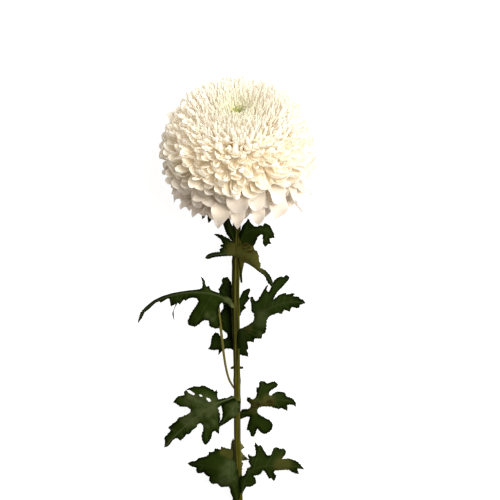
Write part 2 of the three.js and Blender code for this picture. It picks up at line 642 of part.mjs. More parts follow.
    left: [
      [-7, -171], [-4.5, -170.6], [-3, -168], [-2, -165.2], [0.6, -163.4], [-1, -160], [-0.6, -158.4],
      [-1.5, -154.5], [1, -156], [4, -155.4], [4.5, -152], [3.5, -147.5], [4.3, -145.7], [6, -148.3],
      [8, -147.5], [10.5, -151.5], [13, -155.3], [16, -155], [18, -150], [20, -149.3], [22.5, -150.8],
      [25.5, -150.5], [27.2, -153], [26.5, -155.3], [23.4, -158.2], [28, -158], [31, -158.5],
      [35, -160.3], [38, -163],
    ],
    right: [
      [-6, -182.4], [-5, -181], [-3, -179.2], [0, -179.3], [4.5, -176.5], [4, -172.5], [2.6, -170.6],
      [6, -170], [8.5, -168.5], [9.5, -166.3], [11, -167], [13, -170], [14.5, -173], [16, -172.5],
      [18, -175], [19.7, -171], [18, -168.4], [18.6, -166.8], [25, -166.5], [29, -166.3], [32, -168.5],
      [37.2, -170.5], [35.6, -165.9],
    ],
  },
  {
    name: 'leaf_behind_base', fall: [0.02, 0.02],
    rib: [[-9.2, -189, 3], [-9.6, -178, 1.8], [-10, -165, 1.5], [-10, -152, 1.4], [-13, -143.4, 1.2]],
    left: [[-12, -186], [-14.6, -176], [-15.4, -165], [-14.6, -156], [-14.4, -148]],
    right: [
      [-7.6, -180], [-6.6, -170], [-6, -165], [-5.4, -162.4], [-6.6, -160.4], [-0.9, -159.6],
      [-3.5, -157.6], [-6, -154.6], [-6.8, -152.6], [-4.4, -150], [-6.3, -148], [-7.5, -145.5],
      [-10.4, -147],
    ],
  },
];

// The point of a midrib nearest to a point seen from above, with its distance
function nearestOnRib(rib, x, y) {
  let best = { distance: Infinity, height: 0 };
  for (let i = 0; i + 1 < rib.length; i++) {
    const [a, b] = [rib[i], rib[i + 1]];
    const [dx, dy] = [b[0] - a[0], b[1] - a[1]];
    const share = THREE.MathUtils.clamp(((x - a[0]) * dx + (y - a[1]) * dy) / (dx * dx + dy * dy), 0, 1);
    const distance = Math.hypot(x - a[0] - dx * share, y - a[1] - dy * share);
    if (distance < best.distance) best = { distance, height: lerp(a[2], b[2], share) };
  }
  return best;
}

// A leaf's blade: the sheet between its edges and its midrib, split alike on both faces
function bladeGeometry({ rib, left, right, fall, stalk = 0 }) {
  const points = rib.map((p) => new THREE.Vector3(...p));
  const faces = [];
  const edges = [];
  [left, right].forEach((edge, side) => {
    const first = points.length;
    edge.forEach(([x, y]) => {
      const { distance, height } = nearestOnRib(rib.slice(stalk), x, y);
      points.push(new THREE.Vector3(x, y, Math.max(height - fall[side] * distance, bladeThickness)));
    });
    const edgeIndex = edge.map((_, i) => first + i);
    const ring = [...edgeIndex, ...rib.map((_, i) => rib.length - 1 - i)];
    const contour = ring.map((i) => new THREE.Vector2(points[i].x, points[i].y));
    THREE.ShapeUtils.triangulateShape(contour, []).forEach((corners) => {
      faces.push(upward(corners.map((i) => ring[i]), points));
    });
    edges.push([0, ...edgeIndex, rib.length - 1]);
  });
  const normals = points.map(() => new THREE.Vector3());
  faces.forEach((face) => {
    const [a, b, c] = face.map((i) => points[i]);
    const normal = new THREE.Vector3().crossVectors(b.clone().sub(a), c.clone().sub(a));
    face.forEach((i) => normals[i].add(normal));
  });
  normals.forEach((normal) => normal.normalize());
  const positions = [];
  [0.5, -0.5].forEach((side) => points.forEach((point, i) => {
    positions.push(...point.clone().addScaledVector(normals[i], side * bladeThickness).toArray());
  }));
  const under = points.length;
  const index = [];
  faces.forEach(([a, b, c]) => index.push(a, b, c, under + a, under + c, under + b));
  edges.forEach((edge, side) => {
    for (let i = 0; i + 1 < edge.length; i++) {
      const [a, b] = side === 0 ? [edge[i + 1], edge[i]] : [edge[i], edge[i + 1]];
      index.push(a, under + a, b, b, under + a, under + b);
    }
  });
  const geometry = new THREE.BufferGeometry();
  geometry.setAttribute('position', new THREE.Float32BufferAttribute(positions, 3));
  geometry.setIndex(index);
  return geometry;
}

// A triangle turned to face up
function upward([a, b, c], points) {
  const [p, q, r] = [points[a], points[b], points[c]];
  const turn = (q.x - p.x) * (r.y - p.y) - (q.y - p.y) * (r.x - p.x);
  return turn > 0 ? [a, b, c] : [a, c, b];
}

// A whole leaf: the blade with its stalk, a tapering rod along the first part of the midrib
function leafSolid(leaf, stemClearance) {
  const steps = Math.min(stalkSteps, leaf.rib.length - 3);
  const points = leaf.rib.slice(0, steps + 1).map(([x, y, z]) => new THREE.Vector3(x, y, z - stalkDrop));
  const stalk = rod(new THREE.CatmullRomCurve3(points), (along) => lerp(...stalkRadius, along), 5, steps);
  return solidFrom(bladeGeometry(leaf)).add(solidFrom(stalk)).subtract(stemClearance);
}

const flower = new THREE.Group();
flower.add(meshFrom(bloomSolid(), 'bloom_florets', petalWhite));
flower.add(meshFrom(eyeSolid(), 'eye_florets', eyeGreen));
flower.add(meshFrom(calyxSolid(), 'calyx', calyxGreen));
flower.add(meshFrom(stemSolid(), 'stem', stemGreen));
const stemClearance = solidFrom(stemGeometry(pieceGap));
flower.add(meshFrom(shootSolid().subtract(stemClearance), 'side_shoot', shootGreen));
leaves.forEach((leaf) => flower.add(meshFrom(leafSolid(leaf, stemClearance), leaf.name, leafGreen)));

// The part's origin is under the middle of the whole flower, on the surface it lies on
const extent = new THREE.Box3().setFromObject(flower);
const middle = extent.getCenter(new THREE.Vector3());
flower.position.set(-middle.x, -middle.y, -extent.min.z);

const part = new THREE.Group();
part.add(flower);

export default part;
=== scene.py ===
import math

import bpy
import numpy as np
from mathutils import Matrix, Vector, geometry


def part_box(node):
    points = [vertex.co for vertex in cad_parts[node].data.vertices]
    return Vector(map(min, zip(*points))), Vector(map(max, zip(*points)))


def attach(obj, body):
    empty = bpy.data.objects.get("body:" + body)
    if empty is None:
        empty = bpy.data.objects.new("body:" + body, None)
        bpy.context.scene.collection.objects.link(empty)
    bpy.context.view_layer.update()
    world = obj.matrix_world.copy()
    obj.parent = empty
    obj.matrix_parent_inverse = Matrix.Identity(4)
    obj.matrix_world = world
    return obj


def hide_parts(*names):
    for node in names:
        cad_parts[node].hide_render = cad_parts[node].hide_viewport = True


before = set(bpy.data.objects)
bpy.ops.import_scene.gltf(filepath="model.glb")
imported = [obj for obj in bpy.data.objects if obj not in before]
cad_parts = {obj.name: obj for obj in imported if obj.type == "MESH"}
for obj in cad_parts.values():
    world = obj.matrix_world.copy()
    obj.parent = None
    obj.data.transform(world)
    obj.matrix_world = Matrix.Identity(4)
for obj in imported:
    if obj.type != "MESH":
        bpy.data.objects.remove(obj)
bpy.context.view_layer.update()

mm = 0.001
radians = math.radians

# The photograph's plane is the surface that the flower lies on. Its places are millimetres from its middle.
photo = {
    "bloomMiddleX": -9,
    "stemFootY": -240.165,
    "width": 381,  # what the whole frame spans
    "cameraHeight": 1500,
}
calyxLow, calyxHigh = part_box("calyx")
photoMiddle = Vector((
    (calyxLow.x + calyxHigh.x) / 2 / mm - photo["bloomMiddleX"],
    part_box("stem")[0].y / mm - photo["stemFootY"],
    0,
))


def lerp(a, b, share):
    return a + (b - a) * share


def smoothstep(x, low, high):
    x = np.clip((x - low) / (high - low), 0, 1)
    return x * x * (3 - 2 * x)


# Lines and meshes. Points are rows of an array, in millimetres from the middle of the photograph.

def smoothLine(points, step, sharp=0):  # a centripetal Catmull-Rom line, which sharp draws towards straight
    points = [np.array(point, float) for point in points]
    points = [2 * points[0] - points[1], *points, 2 * points[-1] - points[-2]]
    line = []
    for corners in zip(points, points[1:], points[2:], points[3:]):
        lengths = [np.linalg.norm(b - a) for a, b in zip(corners, corners[1:])]
        knots = np.cumsum([0, *np.sqrt(lengths)])
        for t in np.linspace(knots[1], knots[2], max(2, round(lengths[1] / step) + 1))[:-1]:
            straight = lerp(corners[1], corners[2], (t - knots[1]) / (knots[2] - knots[1]))
            level = list(corners)
            for gap in (1, 2, 3):
                level = [lerp(a, b, (t - knots[i]) / (knots[i + gap] - knots[i]))
                         for i, (a, b) in enumerate(zip(level, level[1:]))]
            line.append(lerp(level[0], straight, sharp))
    return np.array([*line, points[-2]])


def evenLine(points, count):  # a smooth line through the points, cut into equal parts
    line = smoothLine(points, 0.5)
    passed = np.concatenate([[0], np.cumsum(np.linalg.norm(np.diff(line, axis=0), axis=1))])
    stops = np.linspace(0, passed[-1], count + 1)
    return np.stack([np.interp(stops, passed, line[:, axis]) for axis in range(line.shape[1])], axis=1)


def tube(line, radiusAt, sides):  # a closed skin round a line; radiusAt takes the way along and the turn
    run = np.gradient(line, axis=0)
    run /= np.linalg.norm(run, axis=1)[:, None]
    side = np.cross((0, 0, 1), run)
    side /= np.linalg.norm(side, axis=1)[:, None]
    up = np.cross(run, side)
    along = np.linspace(0, 1, len(line))[:, None]
    turn = np.arange(sides)[None] * 2 * math.pi / sides
    radius = (radiusAt(along, turn) + 0 * turn)[..., None]
    turnCos, turnSin = np.cos(turn)[..., None], np.sin(turn)[..., None]
    rings = line[:, None] + radius * (turnCos * side[:, None] + turnSin * up[:, None])
    points = np.vstack([rings.reshape(-1, 3), line[:1], line[-1:]])
    faces = ringFaces(len(line), sides)
    ways = np.concatenate([np.repeat(along[:, 0], sides), [0, 1]])
    return points, faces, ways


def ringFaces(rings, sides):
    faces = []
    first, last = rings * sides, rings * sides + 1
    for i in range(sides):
        j = (i + 1) % sides
        faces.append((first, j, i))
        faces.append((last, last - 1 - sides + i, last - 1 - sides + j))
        for r in range(0, (rings - 1) * sides, sides):
            faces.append((r + i, r + j, r + sides + j, r + sides + i))
    return faces


def meshPiece(name, points, faces, skin, **values):  # values: one number for each point
    mesh = bpy.data.meshes.new(name)
    mesh.from_pydata(((np.array(points) + photoMiddle) * mm).tolist(), [], faces)
    mesh.polygons.foreach_set("use_smooth", [True] * len(mesh.polygons))
    for key, numbers in values.items():
        mesh.attributes.new(key, "FLOAT", "POINT").data.foreach_set("value", np.array(numbers, np.float32))
    mesh.materials.append(skin)
    return shownPiece(name, mesh)


def joined(shells):  # several shells, each with its points, faces and values, as one
    points, faces, values = [], [], []
    for shellPoints, shellFaces, *shellValues in shells:
        start = sum(len(p) for p in points)
        points.append(shellPoints)
        faces += [tuple(start + i for i in face) for face in shellFaces]
        values.append(shellValues)
    return np.vstack(points), faces, *(np.concatenate(column) for column in zip(*values))


# Node trees, for geometry and for materials alike

class Wire:  # a socket that Python arithmetic works on
    def __init__(self, tree, socket):
        self.tree = tree
        self.socket = socket

    def math(self, operation, *values):
        return addNode(self.tree, "ShaderNodeMath", {"operation": operation}, dict(enumerate(values)))

    def __add__(self, other):
        return self.math("ADD", self, other)

    def __sub__(self, other):
        return self.math("SUBTRACT", self, other)

    def __rsub__(self, other):
        return self.math("SUBTRACT", other, self)

    def __mul__(self, other):
        return self.math("MULTIPLY", self, other)

    def __truediv__(self, other):
        return self.math("DIVIDE", self, other)

    def __rtruediv__(self, other):
        return self.math("DIVIDE", other, self)

    def __pow__(self, other):
        return self.math("POWER", self, other)

    def __neg__(self):
        return self.math("MULTIPLY", self, -1)

    def __getitem__(self, name):  # another output of the same node
        return Wire(self.tree, socketOf(self.socket.node.outputs, name))

    __radd__ = __add__
    __rmul__ = __mul__

    def sin(self):
        return self.math("SINE", self)

    def cos(self):
        return self.math("COSINE", self)

    def sqrt(self):
        return self.math("SQRT", self)

    def exp(self):
        return self.math("EXPONENT", self)

    def least(self, other):
        return self.math("MINIMUM", self, other)

    def most(self, other):
        return self.math("MAXIMUM", self, other)

    def step(self, low, high, fromValue=0.0, toValue=1.0):  # a smooth rise from one value to the other
        return addNode(self.tree, "ShaderNodeMapRange", {"interpolation_type": "SMOOTHSTEP"}, {
            "Value": self, "From Min": low, "From Max": high, "To Min": fromValue, "To Max": toValue,
        })


def socketOf(sockets, key):
    if isinstance(key, int):
        return sockets[key]
    return next(s for s in sockets if s.enabled and key in (s.identifier, s.name))


def addNode(tree, kind, settings=None, sockets=None, output=0):
    node = tree.nodes.new(kind)
    for name, value in (settings or {}).items():
        setattr(node, name, value)
    for key, value in (sockets or {}).items():
        socket = socketOf(node.inputs, key)
        if isinstance(value, Wire):
            tree.links.new(value.socket, socket)
        else:
            socket.default_value = value
    shown = [s for s in node.outputs if s.enabled]
    return Wire(tree, shown[output]) if shown else None


def mixColour(factor, a, b):
    def colour(value):
        return value if isinstance(value, Wire) else (*value, 1)
    return addNode(factor.tree, "ShaderNodeMix", {"data_type": "RGBA"}, {
        "Factor_Float": factor, "A_Color": colour(a), "B_Color": colour(b),
    })


def geometryTree(name, inputs):  # inputs: name to (socket type, default)
    tree = bpy.data.node_groups.new(name, "GeometryNodeTree")
    for key, (kind, default) in inputs.items():
        socket = tree.interface.new_socket(key, in_out="INPUT", socket_type=kind)
        if default is not None:
            socket.default_value = default
    tree.interface.new_socket("Geometry", in_out="OUTPUT", socket_type="NodeSocketGeometry")
    group = tree.nodes.new("NodeGroupInput")
    return tree, {key: Wire(tree, group.outputs[key]) for key in inputs}


def endTree(tree, wire, skin):
    wire = addNode(tree, "GeometryNodeSetShadeSmooth", {}, {"Geometry": wire})
    wire = addNode(tree, "GeometryNodeRealizeInstances", {}, {"Geometry": wire})
    wire = addNode(tree, "GeometryNodeSetMaterial", {}, {"Geometry": wire, "Material": skin})
    tree.links.new(wire.socket, tree.nodes.new("NodeGroupOutput").inputs[0])


def store(wire, name, value):
    kind = {"data_type": "FLOAT", "domain": "POINT"}
    return addNode(wire.tree, "GeometryNodeStoreNamedAttribute", kind, {
        "Geometry": wire, "Name": name, "Value": value,
    })


def stored(tree, name):
    return addNode(tree, "GeometryNodeInputNamedAttribute", {"data_type": "FLOAT"}, {"Name": name})


def pieceFromTree(name, tree, values, carrier=None):  # the tree's result as a plain mesh
    holder = bpy.data.objects.new(name + "Holder", carrier or bpy.data.meshes.new(name + "Holder"))
    bpy.context.scene.collection.objects.link(holder)
    modifier = holder.modifiers.new(name, "NODES")
    modifier.node_group = tree
    for item in tree.interface.items_tree:
        if item.in_out == "INPUT" and item.name in values:
            modifier[item.identifier] = values[item.name]
    evaluated = holder.evaluated_get(bpy.context.evaluated_depsgraph_get())
    mesh = bpy.data.meshes.new_from_object(evaluated)
    bpy.data.objects.remove(holder)
    return shownPiece(name, mesh)


def shownPiece(name, mesh):
    mesh.name = name
    piece = bpy.data.objects.new(name, mesh)
    bpy.context.scene.collection.objects.link(piece)
    return piece


def finished(piece, slot, *nodes):
    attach(piece, "root")
    if nodes:
        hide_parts(*nodes)
    print(piece.name, sum(len(p.vertices) - 2 for p in piece.data.polygons), "triangles")


# Materials

def material(
    name, colour, roughness, bump=None, bumpDistance=0.1 * mm, glow=None, scattered=None, **constants
):
    made = bpy.data.materials.new(name)
    made.use_nodes = True
    tree = made.node_tree
    shader = tree.nodes["Principled BSDF"]
    for key, value in constants.items():
        shader.inputs[key.replace("_", " ")].default_value = value
    tree.links.new(colour(tree).socket, shader.inputs["Base Color"])
    if scattered:  # painted glow: emission in place of light that has come through many layers
        tree.links.new(scattered(tree).socket, shader.inputs["Emission Color"])
    if callable(roughness):
        tree.links.new(roughness(tree).socket, shader.inputs["Roughness"])
    else:
        shader.inputs["Roughness"].default_value = roughness
    if bump:
        normal = addNode(tree, "ShaderNodeBump", {}, {"Height": bump(tree), "Distance": bumpDistance})
        tree.links.new(normal.socket, shader.inputs["Normal"])
    if glow:  # the share and the colour of the light that passes through a thin piece
        share, tint = glow
        through = addNode(tree, "ShaderNodeBsdfTranslucent", {}, {"Color": (*tint, 1)})
        both = addNode(tree, "ShaderNodeMixShader", {}, {
            0: share, 1: Wire(tree, shader.outputs[0]), 2: through,
        })
        tree.links.new(both.socket, tree.nodes["Material Output"].inputs["Surface"])
    return made


def place(tree):
    return addNode(tree, "ShaderNodeTexCoord")["Object"]


def noise(tree, scale, detail=3.0, vector=None, roughness=0.5):
    return addNode(tree, "ShaderNodeTexNoise", {}, {
        "Vector": vector or place(tree), "Scale": scale, "Detail": detail, "Roughness": roughness,
    })


def streaks(tree, scale, detail=3.0, rotation=(0, 0, 0)):  # noise that is drawn out along a line
    return noise(tree, 1, detail, addNode(tree, "ShaderNodeMapping", {}, {
        "Vector": place(tree), "Rotation": rotation, "Scale": scale,
    }))


def attribute(tree, name):
    return addNode(tree, "ShaderNodeAttribute", {"attribute_name": name})["Fac"]


def byAngle(polar, degrees, before=0.0, after=1.0):  # a smooth change between two angles from the axis
    return polar.step(radians(degrees[0]), radians(degrees[1]), before, after)


petalLook = {  # colours, and the angles from the bloom's axis between which each one sets in or ends
    "cream": (0.97, 0.93, 0.835),
    "white": (0.99, 0.975, 0.935),  # painted highlight along the rim and the tip
    "base": (0.96, 0.82, 0.52),  # down between the florets: their yellower roots, darkened with painted shade
    "tan": (0.93, 0.81, 0.62),  # painted shade inside the scoops of the lower ones
    "tanFrom": (42, 60),
    "tanShare": 0.65,
    "blush": (0.77, 0.68, 0.61),  # the oldest florets, under the bloom: their duller tone, darkened further with painted shade
    "blushFrom": (78, 112),
    "line": (0.72, 0.60, 0.54),  # along the outer ones
    "lineFrom": (85, 112),
    "lines": 19,
    "green": (0.92, 0.94, 0.48),  # round the eye
    "greenTo": (6, 25),
    "bud": (0.55, 0.60, 0.10),  # in the eye
    "budTo": (3, 8),
    "glow": (0.5, (1.0, 0.975, 0.915)),
    # painted glow: the colour of the crown's emission, and the angles where it sets in and ends
    "scattered": (1.0, 0.94, 0.84),
    "scatteredFrom": (3, 10),
    "scatteredTo": (38, 106),
    "roughness": 0.55,
    "veins": 23,
    "veinHeight": 0.12 * mm,
}


def petalColour(tree):
    look = petalLook
    polar = attribute(tree, "polar")
    along = attribute(tree, "along")
    across = attribute(tree, "across")
    # yellower and darker towards the root: own colour, and painted shade between the florets
    colour = mixColour(along.step(0.3, 0.9), look["base"], look["cream"])
    # painted shade inside the scoops, fading towards the tip
    scoopShade = byAngle(polar, look["tanFrom"]) * along.step(0.55, 0.97, 1.0, 0.0)
    colour = mixColour(scoopShade * look["tanShare"], colour, look["tan"])
    # painted highlight: whiter along the rims and at the tips
    rim = (across * across).step(0.55, 0.95).most(along.step(0.9, 0.99))
    colour = mixColour(rim, colour, look["white"])
    # duller with age, and darker with painted shade under the bloom
    agedAndShaded = byAngle(polar, look["blushFrom"]) * (0.55 + 0.45 * attribute(tree, "tone"))
    colour = mixColour(agedAndShaded, colour, look["blush"])
    line = (across * look["lines"] + noise(tree, 70) * 3).sin().step(0.5, 1.0)
    line = line * byAngle(polar, look["lineFrom"]) * noise(tree, 90) * along.step(0.7, 0.95, 0.8, 0.15)
    colour = mixColour(line, colour, look["line"])
    colour = mixColour(byAngle(polar, look["greenTo"], 0.5, 0.0) * (1 - 0.6 * rim), colour, look["green"])
    return mixColour(byAngle(polar, look["budTo"], 1.0, 0.0), colour, look["bud"])


def petalVeins(tree):  # fine ridges that run along a floret
    ridges = attribute(tree, "across") * petalLook["veins"] + noise(tree, 160) * 2.1
    return (ridges.sin() * 0.5 + 0.5) * 0.6 + noise(tree, 900) * 0.4


def petalPaintedGlow(tree):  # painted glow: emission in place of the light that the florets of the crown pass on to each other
    polar = attribute(tree, "polar")
    paintedGlowShare = byAngle(polar, petalLook["scatteredTo"], 1.0, 0.0)
    paintedGlowShare = paintedGlowShare * byAngle(polar, petalLook["scatteredFrom"], 0.2)
    return mixColour(paintedGlowShare, (0, 0, 0), petalLook["scattered"])


# The petals' emission is a painted glow on the crown.
petalMaterial = material(
    "petalFlesh", petalColour, petalLook["roughness"], petalVeins, petalLook["veinHeight"],
    petalLook["glow"], petalPaintedGlow, Sheen_Weight=0.15, Specular_IOR_Level=0.3, Emission_Strength=0.14,
)


# The bloom

bloom = {
    "radius": 57.5 * mm,
    "middle": (photoMiddle + Vector((-9, 68.2, 43.5))) * mm,
    "lift": radians(43),  # how far its axis rises from the line of the stem
    "dimple": (-0.17, 0, 15),  # against the radius, with its middle and its spread in degrees from the axis
    "hollow": (-0.06, 0, 6),  # at the green bud in the middle of the dimple
    "shoulder": (0.08, 42, 24),
    "underside": ((95, 130), 0.0, -0.10),
    "core": 0.8,  # what the florets root in, against the radius
    "count": 2400,
    "polarStart": 58,  # degrees from the axis, which grow with the share of florets passed
    "polarGrowth": 74,
    "pressDepth": 3 * mm,
    "calyxTop": -25.5 * mm,
    "calyxFoot": -35.5 * mm,
    "calyxRadius": 12 * mm,
    "seed": 7,
}
liftSin, liftCos = math.sin(bloom["lift"]), math.cos(bloom["lift"])
lowSeat = (bloom["calyxRadius"] - 2.5 * mm, bloom["calyxTop"] + 3 * mm)  # where the outer florets root

floret = {
    "width": 1.4,  # against the room that a floret has
    "thickness": 0.26 * mm,  # half of it
    "fullWidth": 0.9 * mm,  # half of it, below which the floret is thinner
    "bend": 13 * mm,
    "upright": 0.62,  # how far the florets of the crown stand along the axis and not away from the middle
    "lean": radians(14),  # of the florets past the parting
    "channelFront": 1.4,  # half angle of the arc across it
    "channelBack": 0.6,
    "rootAngle": 1.1,  # of its root against its tip
    "partedRoot": 0.26,  # how much smaller that is past the parting
    "rootDepth": 0.9,  # against the core
    "tipRise": 0.5,
    "tipFrom": 0.6,  # share of its length where the tip starts to rise
    "notchFrom": 0.9,
    "notchDepth": 0.3,
    "bluntFrom": 0.8,
    "pointedFrom": 0.5,
    "ripples": 21,
    "rippleHeight": 0.13,
}
floretRules = {  # degrees from the bloom's axis, and the value before and after them
    "parted": ((34, 54), 0.0, 1.0),  # where the florets turn over to lean outwards
    "sideLean": ((60, 85), 0.0, radians(12)),
    "backLean": ((85, 130), 0.0, radians(20)),
    "outer": ((96, 118), 0.0, 1.0),  # rooted at the rim of the calyx, and pointed
    "heldBack": ((78, 96), 0.0, 0.15),  # on the side of the camera, where the drooping florets hang
    "hanging": ((108, 124), 0.0, 0.12),
    "crownWidth": ((22, 46), 0.64, 1.1),
    "skirtWidth": ((100, 124), 1.0, 1.3),
    "crownChannel": ((25, 50), 0.75, 1.0),
    "curled": ((15, 60), 0.0, 1.0),
    "rootWidth": ((30, 80), 0.8, 0.4),
}
floretChances = {  # the lowest and the highest value, and the number that is added to the seed
    "polar": (radians(-1.8), radians(1.8), 1),
    "reach": (0.93, 1.01, 2),
    "slope": (radians(-16), radians(16), 3),
    "turn": (-0.06, 0.06, 4),
    "width": (0.75, 1.25, 5),
    "channel": (0.0, 1.0, 6),
    "roll": (radians(-42), radians(42), 7),
    "sway": (-0.35, 0.35, 8),
    "tone": (0.0, 1.0, 9),
    "curl": (0.3, 1.5, 10),
    "notch": (0.0, 1.0, 11),
    "parting": (radians(-9), radians(9), 12),
}
floretValues = [
    "polar", "outer", "turn", "wide", "rootOut", "rootUp", "tipOut", "tipUp", "bendOut", "bendUp",
    "channel", "curl", "roll", "sway", "tone", "notch",
]


def bell(polar, height, middle, spread):
    away = (polar - radians(middle)) / radians(spread)
    return (-(away * away)).exp() * height


def bloomReach(polar):
    draw = bell(polar, *bloom["dimple"]) + bell(polar, *bloom["shoulder"]) + bell(polar, *bloom["hollow"])
    return bloom["radius"] * (1 + draw + byAngle(polar, *bloom["underside"]))


def lowered(height):  # the surface flattens what would reach into it
    depth = bloom["pressDepth"]
    return ((height.least(depth) - depth) / depth).exp() * depth + (height - depth).most(0)


def rule(polar, name):
    return byAngle(polar, *floretRules[name])


def floretTree():
    tree, given = geometryTree("florets", {
        "First": ("NodeSocketInt", 0),
        "Florets": ("NodeSocketInt", 100),
        "Count": ("NodeSocketInt", bloom["count"]),
        "Width": ("NodeSocketFloat", floret["width"]),
        "Thickness": ("NodeSocketFloat", floret["thickness"]),
        "Channel Front": ("NodeSocketFloat", floret["channelFront"]),
        "Channel Back": ("NodeSocketFloat", floret["channelBack"]),
        "Sides": ("NodeSocketInt", 12),
        "Steps": ("NodeSocketInt", 13),
        "Seed": ("NodeSocketInt", 0),
        "Material": ("NodeSocketMaterial", None),
    })
    number = addNode(tree, "GeometryNodeInputIndex") + given["First"]

    def chance(name):
        low, high, seed = floretChances[name]
        return addNode(tree, "FunctionNodeRandomValue", {"data_type": "FLOAT"}, {
            "Min_001": low, "Max_001": high, "ID": number, "Seed": given["Seed"] + seed,
        })

    # Where each floret stands: the angle from the bloom's axis, the turn round it and the room it has
    share = (number + 0.5) / given["Count"]
    polar = share * radians(bloom["polarStart"]) + share ** 8 * radians(bloom["polarGrowth"])
    spread = share ** 7 * radians(8 * bloom["polarGrowth"]) + radians(bloom["polarStart"])
    room = (polar.sin() * spread * (2 * math.pi) / given["Count"]).sqrt() * bloom["radius"]
    polar = (polar + chance("polar")).most(radians(0.6))
    turn = number * (math.pi * (3 - math.sqrt(5))) + chance("turn")
    outer = rule(polar, "outer")
    parted = rule(polar + chance("parting"), "parted")

    # How far it reaches and how it leans
    front = (-turn.sin()).most(0.001) ** 1.6
    held = rule(polar, "hanging") - rule(polar, "heldBack") * front
    reach = bloomReach(polar) * (chance("reach") + held)
    lean = parted * floret["lean"] - polar * (1 - parted) * floret["upright"]
    lean = lean + rule(polar, "sideLean") + rule(polar, "backLean")
    slope = polar + lean + chance("slope")
    rootPolar = polar * (floret["rootAngle"] - parted * floret["partedRoot"])
    rootReach = bloomReach(rootPolar.least(radians(110))) * (bloom["core"] * floret["rootDepth"])
    tipOut, tipUp = polar.sin() * reach, polar.cos() * reach
    width = given["Width"] * chance("width") * rule(polar, "crownWidth") * rule(polar, "skirtWidth")
    channel = byAngle(polar, (50, 110), given["Channel Front"], given["Channel Back"])
    values = {
        "polar": polar,
        "outer": outer,
        "turn": turn,
        "wide": room * width,
        "rootOut": rootPolar.sin() * rootReach * (1 - outer) + outer * lowSeat[0],
        "rootUp": rootPolar.cos() * rootReach * (1 - outer) + outer * lowSeat[1],
        "tipOut": tipOut,
        "tipUp": tipUp,
        "bendOut": tipOut - slope.sin() * floret["bend"],
        "bendUp": tipUp - slope.cos() * floret["bend"],
        "channel": channel * rule(polar, "crownChannel") * (0.65 + chance("channel") ** 3 * 0.8),
        "curl": rule(polar, "curled") * (1 - outer) * floret["tipRise"] * chance("curl"),
        "roll": chance("roll"),
        "sway": chance("sway"),
        "tone": chance("tone"),
        "notch": chance("notch") ** 2,
    }
    wire = addNode(tree, "GeometryNodePoints", {}, {"Count": given["Florets"]})
    for name in floretValues:
        wire = store(wire, name, values[name])
    return shapedFlorets(tree, given, wire)


def pastShare(along, start):  # 0 up to a share of the length, and from there up to 1 at the tip
    return ((along - start) / (1 - start)).most(0)


def shapedFlorets(tree, given, wire):  # a closed tube at each point, bent to a floret by the point's values
    blank = addNode(tree, "GeometryNodeMeshCylinder", {"fill_type": "NGON"}, {
        "Vertices": given["Sides"], "Side Segments": given["Steps"], "Radius": 1.0, "Depth": 1.0,
    })
    wire = addNode(tree, "GeometryNodeInstanceOnPoints", {}, {"Points": wire, "Instance": blank})
    wire = addNode(tree, "GeometryNodeRealizeInstances", {}, {"Geometry": wire})

    # Each point of a floret: along from root to tip, across from edge to edge, and which face it is on
    spot = addNode(tree, "ShaderNodeSeparateXYZ", {}, {0: addNode(tree, "GeometryNodeInputPosition")})
    across, face = spot["X"], spot["Y"]
    along = 1 - (0.5 - spot["Z"]).most(0) ** 1.6
    back = 1 - along
    value = {name: stored(tree, name) for name in floretValues}

    # The curve through root, bend and tip, shorter where the tip is notched
    early, middle, late = back * back, along * back * 2, along * along
    out = value["rootOut"] * early + value["bendOut"] * middle + value["tipOut"] * late
    up = value["rootUp"] * early + value["bendUp"] * middle + value["tipUp"] * late
    runOut = (value["bendOut"] - value["rootOut"]) * back + (value["tipOut"] - value["bendOut"]) * along
    runUp = (value["bendUp"] - value["rootUp"]) * back + (value["tipUp"] - value["bendUp"]) * along
    length = (runOut * runOut + runUp * runUp).sqrt()
    faceOut, faceUp = -(runUp / length), runOut / length
    cut = along.step(floret["notchFrom"], 1.0) * value["notch"] * value["wide"] * floret["notchDepth"]
    out = out - runOut / length * cut
    up = up - runUp / length * cut

    # The blade round the curve: half its width, its channel, its ripples and its rising tip
    opened = along.step(0.0, 0.62, rule(value["polar"], "rootWidth"), 1.0)
    blunt = (1 - pastShare(along, floret["bluntFrom"]) ** 2).most(0.003).sqrt()
    pointed = 1 - pastShare(along, floret["pointedFrom"]) ** 1.6 * 0.985
    half = value["wide"] * 0.5 * opened * (blunt * (1 - value["outer"]) + pointed * value["outer"])
    channel = value["channel"] * (1 + early * 1.1)
    curve = half / channel
    inner = curve - face * given["Thickness"] * (half / floret["fullWidth"]).least(1)
    ripple = (along * floret["ripples"] + value["tone"] * 30).sin() * across * across * half
    sideways = inner * (channel * across).sin() + value["sway"] * late * value["wide"]
    raised = curve - inner * (channel * across).cos() + ripple * floret["rippleHeight"]
    raised = raised + value["curl"] * value["wide"] * pastShare(along, floret["tipFrom"]) ** 2
    roll = value["roll"] * (0.4 + 0.6 * along)
    rollSin, rollCos = roll.sin(), roll.cos()
    flank = sideways * rollCos - raised * rollSin
    proud = sideways * rollSin + raised * rollCos
    out = out + faceOut * proud
    up = up + faceUp * proud

    # Round the bloom's axis, which is lifted, and down on the surface
    turnSin, turnCos = value["turn"].sin(), value["turn"].cos()
    right = out * turnCos - flank * turnSin
    down = out * turnSin + flank * turnCos
    position = addNode(tree, "ShaderNodeCombineXYZ", {}, {
        "X": right + bloom["middle"].x,
        "Y": up * liftCos + down * liftSin + bloom["middle"].y,
        "Z": lowered(up * liftSin - down * liftCos + bloom["middle"].z),
    })
    wire = store(wire, "along", along)
    wire = store(wire, "across", across)
    wire = addNode(tree, "GeometryNodeSetPosition", {}, {"Geometry": wire, "Position": position})
    endTree(tree, wire, given["Material"])
    return tree


